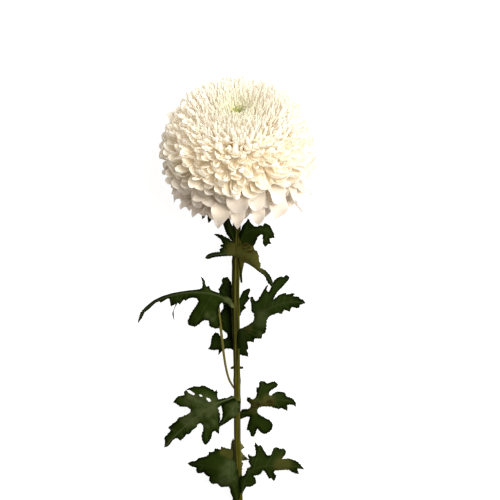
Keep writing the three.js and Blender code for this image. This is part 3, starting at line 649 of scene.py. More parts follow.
florets = floretTree()
zones = {  # name: first and last floret, points round one and steps along it
    "eye_bud": (0, 116, 8, 7),
    "crown_florets": (116, 850, 8, 7),
    "brow_florets": (850, 1600, 8, 9),
    "parting_florets": (1600, 1900, 10, 13),
    "shoulder_florets": (1900, 2170, 14, 17),
    "skirt_florets": (2170, bloom["count"], 14, 17),
}
for name, (first, last, sides, steps) in zones.items():
    piece = pieceFromTree(name, florets, {
        "First": first, "Florets": last - first, "Count": bloom["count"], "Seed": bloom["seed"],
        "Sides": sides, "Steps": steps, "Material": petalMaterial,
    })
    finished(piece, *(("eye", "eye_florets") if name == "eye_bud" else ("petal", "bloom_florets")))


# The lowest florets on the side that the photograph shows, which hang apart from the others. Each has the x
# and y of its tip from the middle of the photograph, its rise over the bloom's middle, the width, the roll in
# degrees, how pointed it is, and how far it bends sideways.

drooping = {
    "florets": [
        (-19, 14.8, 22, 19, 4, 1, -0.24), (-9.1, 14.5, 16, 14, -6, 1, 0),
        (-8.5, 25.5, 32, 19, 8, 0.2, 0), (6.1, 17.5, 18, 13, 10, 0.7, 0),
        (20.5, 22.8, 19, 17, -4, 0.15, 0), (38.5, 27.3, 8, 12, -55, 0.6, 0.2),
        (-51.8, 29, 6, 12, 15, 0.8, 0), (-42.7, 23.6, 4, 12, -10, 1, 0),
        (47.5, 38.6, 4, 11, -40, 0.8, 0), (-58.3, 40.4, 6, 11, 20, 0.7, 0),
        (-63, 57, 3, 12, -18, 0.5, 0), (14, 29, 27, 14, 16, 0.2, 0),
        (-38, 30, 18, 15, -14, 0.5, 0), (-20, 32, 32, 15, 10, 0.2, 0),
        (33, 35, 14, 13, -20, 0.2, 0), (43, 36, 9, 13, 10, 0.2, 0),
        (31, 30.5, 9, 12, -10, 0.4, 0), (50, 50, 7, 12, -15, 0.3, 0),
        (-69, 68, 2, 14, -15, 0.8, 0), (-66.5, 84, 3, 12, -8, 0.6, 0),
        (5, 28, 32, 16, 0, 0.2, 0), (21, 32, 33, 16, -8, 0.2, 0),
        (-35, 38, 27, 16, 8, 0.2, 0),
    ],
    "lean": (radians(34), radians(76)),  # on the sides, and in front, where they stand out first
    "bend": (15 * mm, 34 * mm),
    "front": (9, 16),  # the rise
    "channel": 0.6,
    "toneStep": 0.37,  # from one floret to the next, round and round between 0 and 1
    "notchStep": 0.61,
}


def droopingFloret(number, x, y, rise, width, roll, pointed, sway):  # its values, as in floretValues
    tip = (photoMiddle + Vector((x, y, 0))) * mm - bloom["middle"]
    tip.z = rise * mm
    axial = tip.y * liftCos + tip.z * liftSin
    down = tip.y * liftSin - tip.z * liftCos
    out = math.hypot(tip.x, down)
    polar = math.atan2(out, axial)
    hang = float(smoothstep(rise, *drooping["front"]))
    slope = polar + lerp(*drooping["lean"], hang)
    bend = lerp(*drooping["bend"], hang)
    return {
        "polar": polar,
        "outer": pointed,
        "turn": math.atan2(down, tip.x),
        "wide": width * mm,
        "rootOut": lowSeat[0],
        "rootUp": lowSeat[1],
        "tipOut": out,
        "tipUp": axial,
        "bendOut": out - math.sin(slope) * bend,
        "bendUp": axial - math.cos(slope) * bend,
        "channel": drooping["channel"],
        "curl": 0,
        "roll": radians(roll),
        "sway": sway,
        "tone": number * drooping["toneStep"] % 1,
        "notch": number * drooping["notchStep"] % 1 * 0.5,
    }


def droopingCarrier():  # a point for each of them with its values
    rows = [droopingFloret(number, *given) for number, given in enumerate(drooping["florets"])]
    mesh = bpy.data.meshes.new("droopingCarrier")
    mesh.from_pydata([(0, 0, 0)] * len(rows), [], [])
    for name in floretValues:
        mesh.attributes.new(name, "FLOAT", "POINT").data.foreach_set("value", [row[name] for row in rows])
    return mesh


def droopingTree():
    tree, given = geometryTree("droopingFlorets", {
        "Carrier": ("NodeSocketGeometry", None),
        "Thickness": ("NodeSocketFloat", floret["thickness"]),
        "Sides": ("NodeSocketInt", 20),
        "Steps": ("NodeSocketInt", 26),
        "Material": ("NodeSocketMaterial", None),
    })
    return shapedFlorets(tree, given, given["Carrier"])


finished(pieceFromTree("drooping_florets", droopingTree(), {"Material": petalMaterial}, droopingCarrier()),
         "petal", "bloom_florets")


# The bases of the florets, and the calyx under them

def bloomPoint(out, height, azimuth):
    axis = np.array((0, liftCos, liftSin))
    down = np.array((0, liftSin, -liftCos))
    middle = np.array(bloom["middle"]) / mm - np.array(photoMiddle)
    aside = np.array((out * math.cos(azimuth), 0, 0))
    return middle + axis * height + aside + down * out * math.sin(azimuth)


def lathe(profile, sides):  # profile: distance from the bloom's axis and height along it, from foot to top
    turns = [-2 * math.pi * i / sides for i in range(sides)]
    rings = [[bloomPoint(out, height, turn) for turn in turns] for out, height in profile]
    ends = [bloomPoint(0, profile[0][1], 0), bloomPoint(0, profile[-1][1], 0)]
    return np.vstack([*rings, ends]), ringFaces(len(rings), sides)


calyx = {
    "top": bloom["calyxTop"] / mm,
    "foot": bloom["calyxFoot"] / mm,
    "radius": bloom["calyxRadius"] / mm,
    "rows": 3,
    "bracts": 11,
    "rowStep": 2.3,
    "rowGap": 0.25,
    "bractRoot": 4.5,
    "bractWidth": 2.3,
    "bractThickness": 0.45,
    "bractSteps": 7,
    "greens": ((0.10, 0.14, 0.045), (0.17, 0.21, 0.075)),
    "tips": (0.30, 0.30, 0.13),
}
bases = {
    "size": 0.97,  # against the bloom's core
    "waist": 0.3,  # how much narrower it is under the skirt
    "waistFrom": (76, 110),
    "lowest": 2,
    "sides": 40,
    "gap": (-8.5, 75, 87),  # the parting of the crown, which faces the camera; painted shade makes it brown inside
    "gapWidth": (4 * mm, 11 * mm),
    "gapBrown": (0.55, 0.29, 0.07),
}


def coreShells():
    size = bases["size"] * bloom["core"] * bloom["radius"] / mm
    depth, _, spread = bloom["dimple"]
    profile = [(calyx["radius"] - 1.5, calyx["top"] + 1.2)]
    for degrees in range(125, 4, -8):
        waist = bases["waist"] * float(smoothstep(degrees, *bases["waistFrom"]))
        reach = size * (1 + depth * math.exp(-((degrees / spread) ** 2)) - waist)
        profile.append((math.sin(radians(degrees)) * reach, math.cos(radians(degrees)) * reach))
    points, faces = lathe(profile, bases["sides"])
    points[:, 2] = np.maximum(points[:, 2], bases["lowest"])
    return points, faces


def coreColour(tree):
    # painted shade: brown in the deep gap at the parting
    gap = addNode(tree, "ShaderNodeVectorMath", {"operation": "DISTANCE"}, {
        0: place(tree), 1: (photoMiddle + Vector(bases["gap"])) * mm,
    })
    cream = mixColour(noise(tree, 260), petalLook["base"], petalLook["cream"])
    return mixColour(gap.step(*bases["gapWidth"]), bases["gapBrown"], cream)


finished(meshPiece("floret_bases", *coreShells(), material("floretBases", coreColour, 0.7)),
         "petal", "bloom_florets")


def bract(azimuth, row):  # a narrow pointed scale pressed to the cup, as a ring of four points at each step
    rings = []
    top = calyx["top"] - row * calyx["rowStep"]
    thick = calyx["bractThickness"]
    for share in np.linspace(0, 0.97, calyx["bractSteps"]):
        rise = math.sin(share * math.pi / 2)
        out = lerp(calyx["bractRoot"], calyx["radius"] - 0.2 + 0.5 * share, rise) + row * calyx["rowGap"]
        height = lerp(calyx["foot"] + 1.5, top + 0.6, share ** 1.5)
        half = calyx["bractWidth"] / 2 * math.sin(math.pi * (0.2 + 0.8 * share)) ** 0.7 + 0.05
        rings.append([
            bloomPoint(out + thick, height - thick / 2, azimuth),
            bloomPoint(out, height, azimuth - half / out),
            bloomPoint(out - thick, height + thick / 2, azimuth),
            bloomPoint(out, height, azimuth + half / out),
        ])
    ends = [np.mean(rings[0], axis=0), np.mean(rings[-1], axis=0)]
    along = np.array([*np.repeat(np.linspace(0, 1, len(rings)), 4), 0, 1])
    return np.vstack([*rings, ends]), ringFaces(len(rings), 4), along


def calyxShells():
    profile = [(2.8, calyx["foot"]), (3.6, calyx["foot"] + 0.5), (7.6, calyx["foot"] + 3.2),
               (calyx["radius"] - 1.7, calyx["top"] - 3.4), (calyx["radius"] - 1.1, calyx["top"])]
    points, faces = lathe(evenLine(profile, 14), 36)
    shells = [(points, faces, np.full(len(points), 0.2))]
    for row in range(calyx["rows"]):
        for i in range(calyx["bracts"]):
            shells.append(bract((i + row / 2) / calyx["bracts"] * 2 * math.pi, row))
    return joined(shells)


def calyxColour(tree):
    green = mixColour(noise(tree, 300), *calyx["greens"])
    return mixColour(attribute(tree, "along").step(0.5, 1.0), green, calyx["tips"])


calyxMaterial = material("calyxSkin", calyxColour, 0.6, lambda tree: noise(tree, 1500))
points, faces, along = calyxShells()
finished(meshPiece("calyx_bracts", points, faces, calyxMaterial, along=along), "calyx", "calyx")


# The stem and the side shoot

stem = {
    "path": [
        bloomPoint(0, calyx["foot"] - 0.2, 0), bloomPoint(0, calyx["foot"] - 7, 0), (-9.4, 31.5, 10.6),
        (-9.7, 22, 9.3), (-10.2, 0, 9.4), (-10.8, -30.5, 9.6), (-10.4, -60, 9.6), (-9.9, -87.6, 9.2),
        (-9.6, -115, 8.7), (-9.5, -141.7, 8), (-8.9, -166, 7), (-8, -190.5, 5.4), (-6.4, -240, 2.7),
    ],
    "neckRadius": 3.0,
    "middleRadius": 2.55,
    "footRadius": 2.75,
    "nodes": [0.135, 0.19, 0.315, 0.38, 0.505, 0.56, 0.76, 0.79],  # shares of its length
    "swelling": 0.35,
    "ridge": 0.075,  # against its radius
    "ridges": 5,
    "phase": 0.6,
    "twist": 0.2,
    "steps": 300,
    "sides": 40,
    "nodeLength": 0.009,
    "neckTo": (0.34, 0.43),
    "footFrom": (0.6, 1),
    "scars": [(0.469, -1), (0.4685, 1)],  # the share of its length, and the side
    "scarLength": 4.9,
    "upper": ((0.012, 0.011, 0.001), (0.058, 0.060, 0.006)),  # the colour of a furrow and of a rib, the furrow darkened with painted shade as well as its own tone
    "lower": ((0.026, 0.0245, 0.0013), (0.058, 0.054, 0.004)),
    "streak": (0.080, 0.077, 0.009),
    "paleNode": (0.085, 0.088, 0.012),
    "scar": (0.016, 0.012, 0.005),
}
shoot = {
    "path": [(-11, -106, 8.4), (-15.4, -99, 8.8), (-18.6, -87, 9.6), (-21.3, -67, 9), (-23.4, -50, 8.4),
             (-24.2, -43, 8.2)],
    "foot": 0.75,
    "top": 1.2,
    "greens": ((0.062, 0.054, 0.008), (0.100, 0.088, 0.018)),
    "cut": (0.05, 0.045, 0.015),
}


def stemRibs(along, turn):  # 1 on a rib, -1 in a furrow
    twist = turn + stem["phase"] + stem["twist"] * np.sin(along * 9)
    return 1 - 2 * np.abs(np.sin(twist * stem["ridges"] / 2)) ** 0.7


def stemRadius(along, turn):
    swelling = sum(np.exp(-((along - node) / stem["nodeLength"]) ** 2) for node in stem["nodes"])
    radius = lerp(stem["neckRadius"], stem["middleRadius"], smoothstep(along, *stem["neckTo"]))
    radius = radius + (stem["footRadius"] - stem["middleRadius"]) * smoothstep(along, *stem["footFrom"])
    radius = radius + stem["swelling"] * np.minimum(swelling, 1)
    fine = 0.012 * np.sin(turn * 17 + 3 * np.sin(along * 30))
    return radius * (1 + stem["ridge"] * stemRibs(along, turn) + fine)


def scarRadius(along, turn):
    return np.sqrt(1 - np.clip(along - 0.7, 0, 1) ** 2 * 10) * (1.0 + 0.15 * np.sin(turn * 3 + along * 9))


def budScar(share, side, line):  # the rough stub of a side bud
    foot = line[round(share * stem["steps"])]
    end = foot + np.array((side * stem["scarLength"], -0.6, 0))
    path = evenLine([foot, lerp(foot, end, 0.5) + np.array((0, 0.25, 0)), end], 10)
    return tube(path, scarRadius, 12)


def stemShells():
    line = evenLine(stem["path"], stem["steps"])
    scars = [budScar(share, side, line) for share, side in stem["scars"]]
    points, faces, along = tube(line, stemRadius, stem["sides"])
    turn = np.arange(stem["sides"])[None] * 2 * math.pi / stem["sides"]
    ribs = np.append(stemRibs(np.linspace(0, 1, len(line))[:, None], turn).ravel(), [0, 0])
    shells = [(points, faces, along, 0 * along, ribs)]
    for (scarPoints, scarFaces, scarAlong), (share, side) in zip(scars, stem["scars"]):
        shells.append((scarPoints, scarFaces, 0 * scarAlong + share, 0.3 + 0.7 * scarAlong, 0 * scarAlong))
    return joined(shells)


def stemColour(tree):
    along = attribute(tree, "along")
    rib = attribute(tree, "rib")
    # furrows darker than ribs: their own tone, deepened with painted shade
    upper = mixColour(rib.step(-0.7, 0.9), *stem["upper"])
    lower = mixColour(rib.step(-0.9, 0.6), *stem["lower"])
    colour = mixColour(along.step(0.42, 0.52), upper, lower)
    streak = streaks(tree, (1400, 60, 1400), 4)
    colour = mixColour(streak.step(0.45, 0.75) * 0.6, colour, stem["streak"])
    node = along.step(0.545, 0.56) * along.step(0.565, 0.585, 1.0, 0.0)
    colour = mixColour(node * 0.6, colour, stem["paleNode"])
    return mixColour(attribute(tree, "scar").step(0.4, 0.9), colour, stem["scar"])


stemMaterial = material(
    "stemSkin", stemColour, 0.55, lambda tree: streaks(tree, (1600, 90, 1600)), Specular_IOR_Level=0.02,
)
points, faces, along, scar, rib = stemShells()
piece = meshPiece("ribbed_stem", points, faces, stemMaterial, along=along, scar=scar, rib=rib)
finished(piece, "stem", "stem")


def shootRadius(along, turn):
    ribs = 1 + 0.05 * np.cos(turn * 5 + along * 4)
    return lerp(shoot["foot"], shoot["top"], along) * ribs * (1 + 0.06 * np.sin(along * 60) * along)


def shootColour(tree):
    colour = mixColour(noise(tree, 240), *shoot["greens"])
    return mixColour(attribute(tree, "along").step(0.96, 1.0), colour, shoot["cut"])


shootMaterial = material(
    "shootSkin", shootColour, 0.55, lambda tree: noise(tree, 1300), Specular_IOR_Level=0.06,
)
points, faces, along = tube(evenLine(shoot["path"], 110), shootRadius, 20)
finished(meshPiece("bare_shoot", points, faces, shootMaterial, along=along), "shoot", "side_shoot")


# The leaves. Each has its rib in space from the stem to the tip, the left and right edge of the blade as
# seen from above, and how steeply the two halves fall from the rib. stalk is how many of the rib's points
# are bare, ribTone how pale the rib is, and shade how dark the leaf. The patches of colour, and of edge
# without teeth, are round, each with x, y and radius. holes are open places in the blade.

leaves = [
    {
        "name": "leaf_crown_left", "fall": (0.3, 0.4), "ribTone": 0.4, "shade": 0.2,
        "rib": [
            (-10.4, 12, 9.2), (-17, 20, 11), (-25, 27, 10), (-31.5, 29.5, 8), (-35, 27, 5.5),
            (-36.5, 23.2, 3.5),
        ],
        "left": [
            (-16, 17), (-23, 23), (-28.5, 26), (-29.7, 22.3), (-31.6, 20.8), (-32, 26), (-33.2, 27),
            (-34.6, 25),
        ],
        "right": [(-17, 22.5), (-25, 30), (-31, 32.5), (-34.5, 31.5), (-36, 27.5)],
    },
    {
        "name": "leaf_crown_inner", "fall": (0.5, 0.3), "ribTone": 0.3, "shade": 0.3,
        "rib": [(-11.2, 6, 10), (-14, 12, 13.5), (-16, 18, 15.5), (-15.8, 25.5, 15)],
        "left": [(-13, 6.5), (-15.5, 9.5), (-17.5, 12.5), (-19, 16), (-20.3, 20.3), (-18, 22.5)],
        "right": [(-10.6, 13), (-13, 17.5), (-14.7, 20.5)],
    },
    {
        "name": "leaf_upper_left", "fall": (0.15, 0.15), "ribTone": 0.7, "shade": 0.0,
        "olive": [(-12, 0, 8)],
        "rib": [
            (-8.6, -1.2, 12.6), (-12, -1.6, 13.4), (-16, -2.3, 13.6), (-22, -3.2, 13.5), (-28, -3.8, 11),
            (-34.2, -6.2, 7.5),
        ],
        "left": [(-10, -4.6), (-12.5, -4.4), (-18, -4.4), (-24, -4.9), (-28, -5.6), (-31.5, -6.7)],
        "right": [
            (-8.7, 3.4), (-12.5, 6), (-16, 8.3), (-20, 10.5), (-24, 12), (-27, 12), (-23, 9), (-20, 4.6),
            (-22.6, 3.2), (-20.4, 1.8), (-23, 0.6), (-22.5, -1.5), (-26, -1.8), (-30, -2.5), (-33, -4.4),
        ],
    },
    {
        "name": "leaf_upper_right", "fall": (0.25, 0.35), "ribTone": 0.25, "shade": 0.2,
        "rib": [
            (-8.5, 3.5, 9), (-6, 9, 12), (-1, 14, 14.6), (5, 15.5, 15.6), (11, 15, 14.6), (15.5, 12.8, 12),
            (18.7, 9, 8.5),
        ],
        "left": [
            (-8.4, 8), (-7, 14), (-5.5, 18.5), (-3, 21), (-1.3, 23.7), (0.5, 20.5), (3, 18), (5.5, 17.4),
            (8, 18.8), (9.5, 18), (11, 20.2), (14, 19), (16, 16.5), (17.4, 13.5),
        ],
        "right": [
            (-4, 3), (0.5, 2.2), (3, 3.5), (4.5, 6.5), (5.5, 9.5), (7.5, 11.5), (9.5, 11.8), (10, 8.5),
            (9.8, 5), (11.8, 2.5), (13.5, 4.5), (15.6, 5), (14.6, 8.5), (16.5, 9.2),
        ],
    },
    {
        "name": "leaf_upper_folded", "fall": (0.12, 0.4), "ribTone": 0.5, "shade": 0.0,
        "olive": [(0, -5, 20)],
        "creased": [(-1, 2, 7)],
        "smooth": [(-6.5, -20, 8)],
        "rib": [
            (-13, -2, 12.8), (-9, -2.6, 14), (-4, -3.6, 15.4), (1, -6.5, 17), (6, -12.6, 17),
            (10.6, -17.8, 16.5), (15, -22.5, 16), (17.6, -28, 15.5),
        ],
        "left": [
            (-13, 1), (-10.5, 3.4), (-8.5, 3.6), (-6, 4.5), (-3, 5.4), (0, 4.5), (2.5, 3), (3.5, 0),
            (5.6, -1.5), (6.5, -4.5), (6.8, -8.5), (8, -11.5), (7.7, -13.4), (11, -15), (14, -18),
            (16.6, -22.5),
        ],
        "right": [
            (-12.8, -4.6), (-8.6, -6.4), (-7.8, -15), (-7.2, -24.5), (-5.8, -25), (-6, -18), (-4.8, -11),
            (-4.3, -9.4), (-1.5, -10.4), (1.5, -12.2), (4.5, -14.5), (6.5, -16), (9.5, -18.2), (12, -21),
            (13.5, -24.5), (16.3, -27.5),
        ],
    },
    {
        "name": "leaf_behind_upper", "fall": (0.02, 0.02), "ribTone": 0.3, "shade": 0.4,
        "rib": [
            (-10.6, -78, 5.4), (-11.5, -72, 3), (-13.5, -60, 2.2), (-15, -45, 2), (-16, -33, 2),
            (-17, -20.4, 1.8),
        ],
        "left": [
            (-12.5, -76.5), (-14.5, -75), (-18.5, -75), (-22, -77.5), (-24, -79.5), (-23.8, -76),
            (-28, -76), (-31.8, -75.2), (-30, -73), (-29.5, -69), (-28.5, -65.5), (-26.5, -62.8),
            (-24, -63.5), (-22, -67), (-19, -67.6), (-17, -66), (-17.5, -63.5), (-21.5, -60), (-23, -53),
            (-22.4, -47.5), (-20.2, -44.5), (-20.5, -40), (-22.6, -34), (-23.6, -30), (-22.5, -27.5),
            (-21, -25.5), (-21.5, -23), (-19.5, -21),
        ],
        "right": [
            (-9.5, -70), (-9.5, -60), (-8.5, -52), (-7, -48.5), (-5.5, -46), (-3, -43.8), (-4.5, -42.3),
            (-2.5, -39.8), (-0.5, -37), (-1.4, -35), (0.3, -30.5), (-0.8, -29.2), (-3, -30), (-5.5, -32),
            (-7, -35), (-9, -38), (-12, -34), (-14.5, -24.6), (-15.5, -23),
        ],
    },
    {
        "name": "leaf_mid_left", "fall": (0.24, 1), "stalk": 2, "ribTone": 0.8, "shade": 0.2,
        "pale": [(-30, -50, 6), (-15, -39, 7)],
        "yellow": [(-12, -42, 3.5)],
        "smooth": [(-58, -47, 9), (-50, -30, 16), (-66, -34, 10), (-76, -40, 8), (-24, -31, 9)],
        "rib": [
            (-11.5, -44, 10), (-14.5, -39.8, 14), (-20, -36.2, 17), (-27, -33.5, 19), (-35, -32.2, 20),
            (-45, -32, 19.5), (-55, -33.5, 17.5), (-65, -36.3, 14), (-75, -41.5, 9.5), (-82, -48.5, 5),
            (-85.3, -56, 1),
        ],
        "left": [
            (-14, -43.5), (-18, -40), (-22, -40), (-24, -45), (-23.4, -52), (-22.9, -57), (-24.5, -59.2),
            (-30.5, -57.5), (-31, -53.6), (-34.5, -52.8), (-39.5, -56.5), (-42, -57.8), (-46.5, -56.6),
            (-47, -54.5), (-45.5, -50), (-43.2, -46), (-40.5, -42), (-38.7, -38.6), (-40, -36.4),
            (-43, -35.9), (-46, -36.5), (-48.7, -38.3), (-49.6, -37.2), (-53, -41), (-54.4, -39.6),
            (-57.6, -46), (-57.5, -53), (-58.8, -48), (-56, -40.6), (-59.8, -42.6), (-60.6, -37),
            (-62, -36.6), (-67.5, -39.8), (-68.4, -38.8), (-71, -39.8), (-74, -42.4), (-77.5, -45.6),
            (-79.6, -46.6), (-82, -51),
        ],
        "right": [
            (-12.5, -39), (-17, -35.5), (-22, -33), (-26, -31.5), (-29.5, -30), (-31, -27.5), (-33, -27.6),
            (-34.6, -23), (-37, -20.5), (-35.7, -25), (-36, -28.4), (-38, -29.6), (-45, -30.3),
            (-52, -31.3), (-58, -32.4), (-66, -34.8), (-73, -38.2), (-79, -43), (-83.6, -49),
        ],
    },
    {
        "name": "leaf_mid_right", "fall": (0.15, 0.3), "ribTone": 0.45, "shade": 0.45,
        "pale": [(9, -52, 9), (6.8, -64, 3)],
        "olive": [(-1.7, -59.5, 5)],
        "rib": [
            (-8, -60.6, 10), (-4, -60, 12.5), (1, -57.5, 14.5), (5.5, -52.5, 15.5), (9, -48, 15.8),
            (14, -44.5, 15), (20, -42, 13), (27, -40, 10), (34, -39.2, 6.5), (42.3, -40.5, 2),
        ],
        "left": [
            (-5.5, -59), (-1, -56.6), (1.7, -54.6), (3.2, -52.5), (3, -48), (1, -46), (1.4, -43),
            (0.2, -37.2), (1, -35.3), (2.5, -36.4), (4, -38.7), (6, -37.8), (8, -34.5), (10.5, -30),
            (13.5, -26.3), (12.4, -30), (13.5, -32), (15, -30.5), (17, -25.5), (19, -22.5), (22.5, -20.3),
            (25.5, -20.6), (28, -19.2), (30, -21), (28.5, -23.5), (24.5, -28), (20, -32.5), (17.6, -37.6),
            (19.5, -36.3), (22, -34), (27.5, -32.5), (27, -33.8), (33.5, -33), (32.7, -35), (37, -35.5),
            (38, -37.4), (40.5, -38),
        ],
        "right": [
            (-3, -61.8), (-1.8, -64.6), (1, -66.4), (4, -66.9), (8.8, -66.6), (9.3, -63.8), (11.4, -62.7),
            (12, -60), (12.3, -56), (12.4, -53.5), (13.6, -51), (16, -49.3), (22, -47.4), (24, -48.5),
            (25.5, -45.2), (30.3, -46.5), (31, -43.3), (37, -44), (37.5, -41.8),
        ],
    },
    {
        "name": "leaf_mid_small", "fall": (0.25, -0.2), "ribTone": 0.35, "shade": 0.75,
        "olive": [(-0.4, -60.6, 5)],
        "rib": [(-7.6, -59.5, 12), (-5.2, -64, 12.4), (-4, -70, 11.6), (-3.4, -75.5, 9.5), (-1.2, -81, 7)],
        "left": [
            (-5.4, -59), (-2.5, -57.6), (0.6, -58.6), (2.6, -62), (4.6, -64.4), (3.3, -66.9), (2.4, -69.6),
            (-0.4, -69), (-2.3, -69.4), (-1.6, -72), (-1.5, -74.8), (-2.6, -75.6), (-1.6, -78.6),
        ],
        "right": [
            (-8.8, -62), (-9.4, -67), (-9.2, -72), (-8.9, -75.5), (-8.2, -77.8), (-6.4, -79.5),
            (-3.6, -80.2),
        ],
    },
    {
        "name": "leaf_low_left", "fall": (0.28, 0.3),
        "pale": [(-33, -119, 13), (-45, -128, 9), (-44, -114, 8), (-30, -131, 6)],
        "holes": [
            [(-48.3, -106), (-45.5, -106.2), (-41.6, -108.9), (-42.6, -110), (-46.5, -108.2)],
            [(-38.6, -109.2), (-36.6, -109.4), (-35.8, -110.8), (-37.8, -110.6)],
            [(-33, -111.4), (-30.6, -112), (-29.3, -113.8), (-30.8, -114.6), (-32.6, -113)],
        ],
        "rib": [
            (-11.5, -111, 10), (-17, -113, 13.5), (-23, -115, 15.5), (-29, -118, 16), (-36, -122.5, 15),
            (-44, -129, 12.5), (-52, -136, 9), (-59, -143, 5.5), (-65.3, -150.3, 1.6),
        ],
        "left": [
            (-15.5, -114.4), (-22, -117.6), (-24.4, -119), (-23.2, -122.6), (-22.6, -127), (-23.4, -133),
            (-23.5, -139.5), (-26.5, -137), (-28.5, -138), (-29.5, -142.5), (-31.5, -146), (-34, -148),
            (-35.6, -146), (-36.8, -141), (-35.5, -137), (-35.5, -132.5), (-37.5, -130.8), (-39.5, -131.5),
            (-41, -134.5), (-44, -136.5), (-46, -139.5), (-48, -139.5), (-50.5, -142.5), (-53, -144.7),
            (-55, -142.6), (-57.6, -143.4), (-60, -146), (-62, -149),
        ],
        "right": [
            (-14, -110.2), (-17, -111.8), (-21, -112.3), (-24.4, -112.6), (-25, -106), (-26.6, -107),
            (-29, -105.5), (-33.5, -103.3), (-35.5, -102.7), (-38, -103.5), (-42, -103.3), (-46, -104.8),
            (-50, -107.5), (-49.5, -110), (-54.5, -111), (-58, -115.5), (-55.5, -116.6), (-52.5, -118.7),
            (-48, -118.7), (-45, -120.2), (-45, -122.4), (-47.5, -124.5), (-51, -126), (-54.5, -127.7),
            (-55.5, -129.5), (-62, -135), (-60, -137), (-65, -143), (-64.5, -146),
        ],
    },
    {
        "name": "leaf_low_inner", "fall": (0.1, 0.3), "ribTone": 0.5, "shade": 0.0,
        "pale": [(-12, -121, 7)],
        "rib": [
            (-9.5, -113.5, 12.2), (-12, -117.5, 13.6), (-15.5, -122.5, 13.4), (-19.5, -128.5, 11),
            (-23.8, -134.6, 8),
        ],
        "left": [
            (-7.6, -114.4), (-7.2, -118), (-8, -122), (-10, -125), (-12, -126.6), (-14.5, -128),
            (-17.5, -130.4), (-21, -132.6),
        ],
        "right": [
            (-12.5, -112.4), (-17, -113.8), (-21.6, -116.2), (-21.4, -119), (-20.6, -123), (-21, -127),
            (-22.8, -130.6),
        ],
    },
    {
        "name": "leaf_low_right", "fall": (0.2, 0.3), "ribTone": 0.25, "shade": 0.25,
        "olive": [(4.5, -118, 8), (14, -114, 7)],
        "creased": [(4, -118, 6), (16, -114.5, 5)],
        "rib": [
            (-7.5, -123.8, 9), (-3, -123.4, 11.5), (1.5, -121, 13.5), (4, -117, 15), (8, -114.5, 15.5),
            (14, -113.5, 14.5), (20, -113, 12.5), (26, -113.6, 9.5), (31, -115, 6.5), (33.8, -117, 4.5),
            (35, -119.5, 3),
        ],
        "left": [
            (-6, -120.6), (-2, -120.4), (0.2, -118.8), (0.6, -116.5), (-1.5, -114.5), (-2.3, -111.3),
            (0, -111.8), (2, -113), (4.5, -111), (5.3, -108), (5, -104), (6.8, -103.8), (7, -100),
            (10, -99.3), (13, -101), (16, -100), (19, -99.8), (21.2, -102), (19.5, -104), (16.5, -105.5),
            (14.4, -107.8), (14.4, -109.6), (16, -110), (18, -108.5), (20.5, -107), (26, -108),
            (27, -110.5), (30, -112), (33, -113.5), (34.6, -116.6),
        ],
        "right": [
            (-7, -128), (-3, -126.2), (0, -125.8), (-0.5, -128), (-2.3, -136), (-0.2, -137), (0.5, -139.8),
            (2, -141.5), (3.7, -140), (5.5, -135), (8, -138), (10.5, -139.5), (14, -138.3), (16.5, -136),
            (17.2, -132.5), (14.8, -129), (8.5, -125.5), (5.7, -123), (5.6, -120.5), (7, -118.6),
            (10, -118), (16, -118.2), (22, -120.4), (23, -119.4), (28.3, -122), (28.2, -117.4),
            (33, -117.6),
        ],
    },
    {
        "name": "leaf_base_left", "fall": (0.3, 0.12), "ribTone": 0.2, "shade": 0.2,
        "pale": [(-17, -172, 10), (-16, -166, 10)],
        "olive": [(-20, -152.5, 4), (-15.5, -154, 5)],
        "rib": [
            (-9.6, -191, 8.2), (-10.4, -184, 10.4), (-13, -176, 12.4), (-19, -168.5, 14.5),
            (-28, -164, 13.5), (-37, -162.6, 9.5), (-47.5, -162.3, 2.5),
        ],
        "left": [
            (-12.6, -190), (-13, -187.4), (-14.8, -183.5), (-15, -181), (-16, -179), (-22, -179.4),
            (-25, -176.5), (-28, -177), (-31, -174.5), (-30.5, -171.5), (-33, -170.5), (-35, -168.3),
            (-38.5, -169.4), (-40.5, -168.4), (-40.5, -165.3), (-45, -164),
        ],
        "right": [
            (-7.8, -187), (-8.2, -180), (-8.6, -172), (-9.4, -165), (-11, -160.6), (-12.6, -157.5),
            (-13.4, -151), (-18.5, -150), (-21.5, -149), (-22.4, -151), (-26.5, -150.2), (-27, -152.5),
            (-31, -153.3), (-31.4, -155.4), (-34, -156.5), (-39, -157.8), (-41, -160), (-45, -160.8),
        ],
    },
    {
        "name": "leaf_base_right", "fall": (0.18, 0.3), "ribTone": 0.3, "shade": 0.25,
        "olive": [(24.6, -162.6, 9)],
        "rib": [
            (-6.2, -184, 9.2), (-5.4, -180, 10.2), (-3.6, -174, 11.5), (0, -168, 13.5), (5, -164.6, 14.5),
            (12, -163, 14.2), (20, -162.8, 12.5), (28, -163.4, 9.5), (35, -164.4, 6), (41.5, -167, 2),
        ],
        "left": [
            (-7.8, -181.5), (-8.2, -176), (-7, -171), (-4.5, -170.6), (-3, -168), (-2, -165.2),
            (0.6, -163.4), (-1, -160), (-0.6, -158.4), (-1.5, -154.5), (1, -156), (4, -155.4), (4.5, -152),
            (3.5, -147.5), (4.3, -145.7), (6, -148.3), (8, -147.5), (10.5, -151.5), (13, -155.3),
            (16, -155), (18, -150), (20, -149.3), (22.5, -150.8), (25.5, -150.5), (27.2, -153),
            (26.5, -155.3), (23.4, -158.2), (28, -158), (31, -158.5), (35, -160.3), (38, -163),
        ],
        "right": [
            (-4.8, -182.6), (-3, -179.2), (0, -179.3), (4.5, -176.5), (4, -172.5), (2.6, -170.6), (6, -170),
            (8.5, -168.5), (9.5, -166.3), (11, -167), (13, -170), (14.5, -173), (16, -172.5), (18, -175),
            (19.7, -171), (18, -168.4), (18.6, -166.8), (25, -166.5), (29, -166.3), (32, -168.5),
            (37.2, -170.5), (35.6, -165.9),
        ],
    },
    {
        "name": "leaf_behind_base", "fall": (0.02, 0.02),
        "yellow": [(-10, -165, 60)],
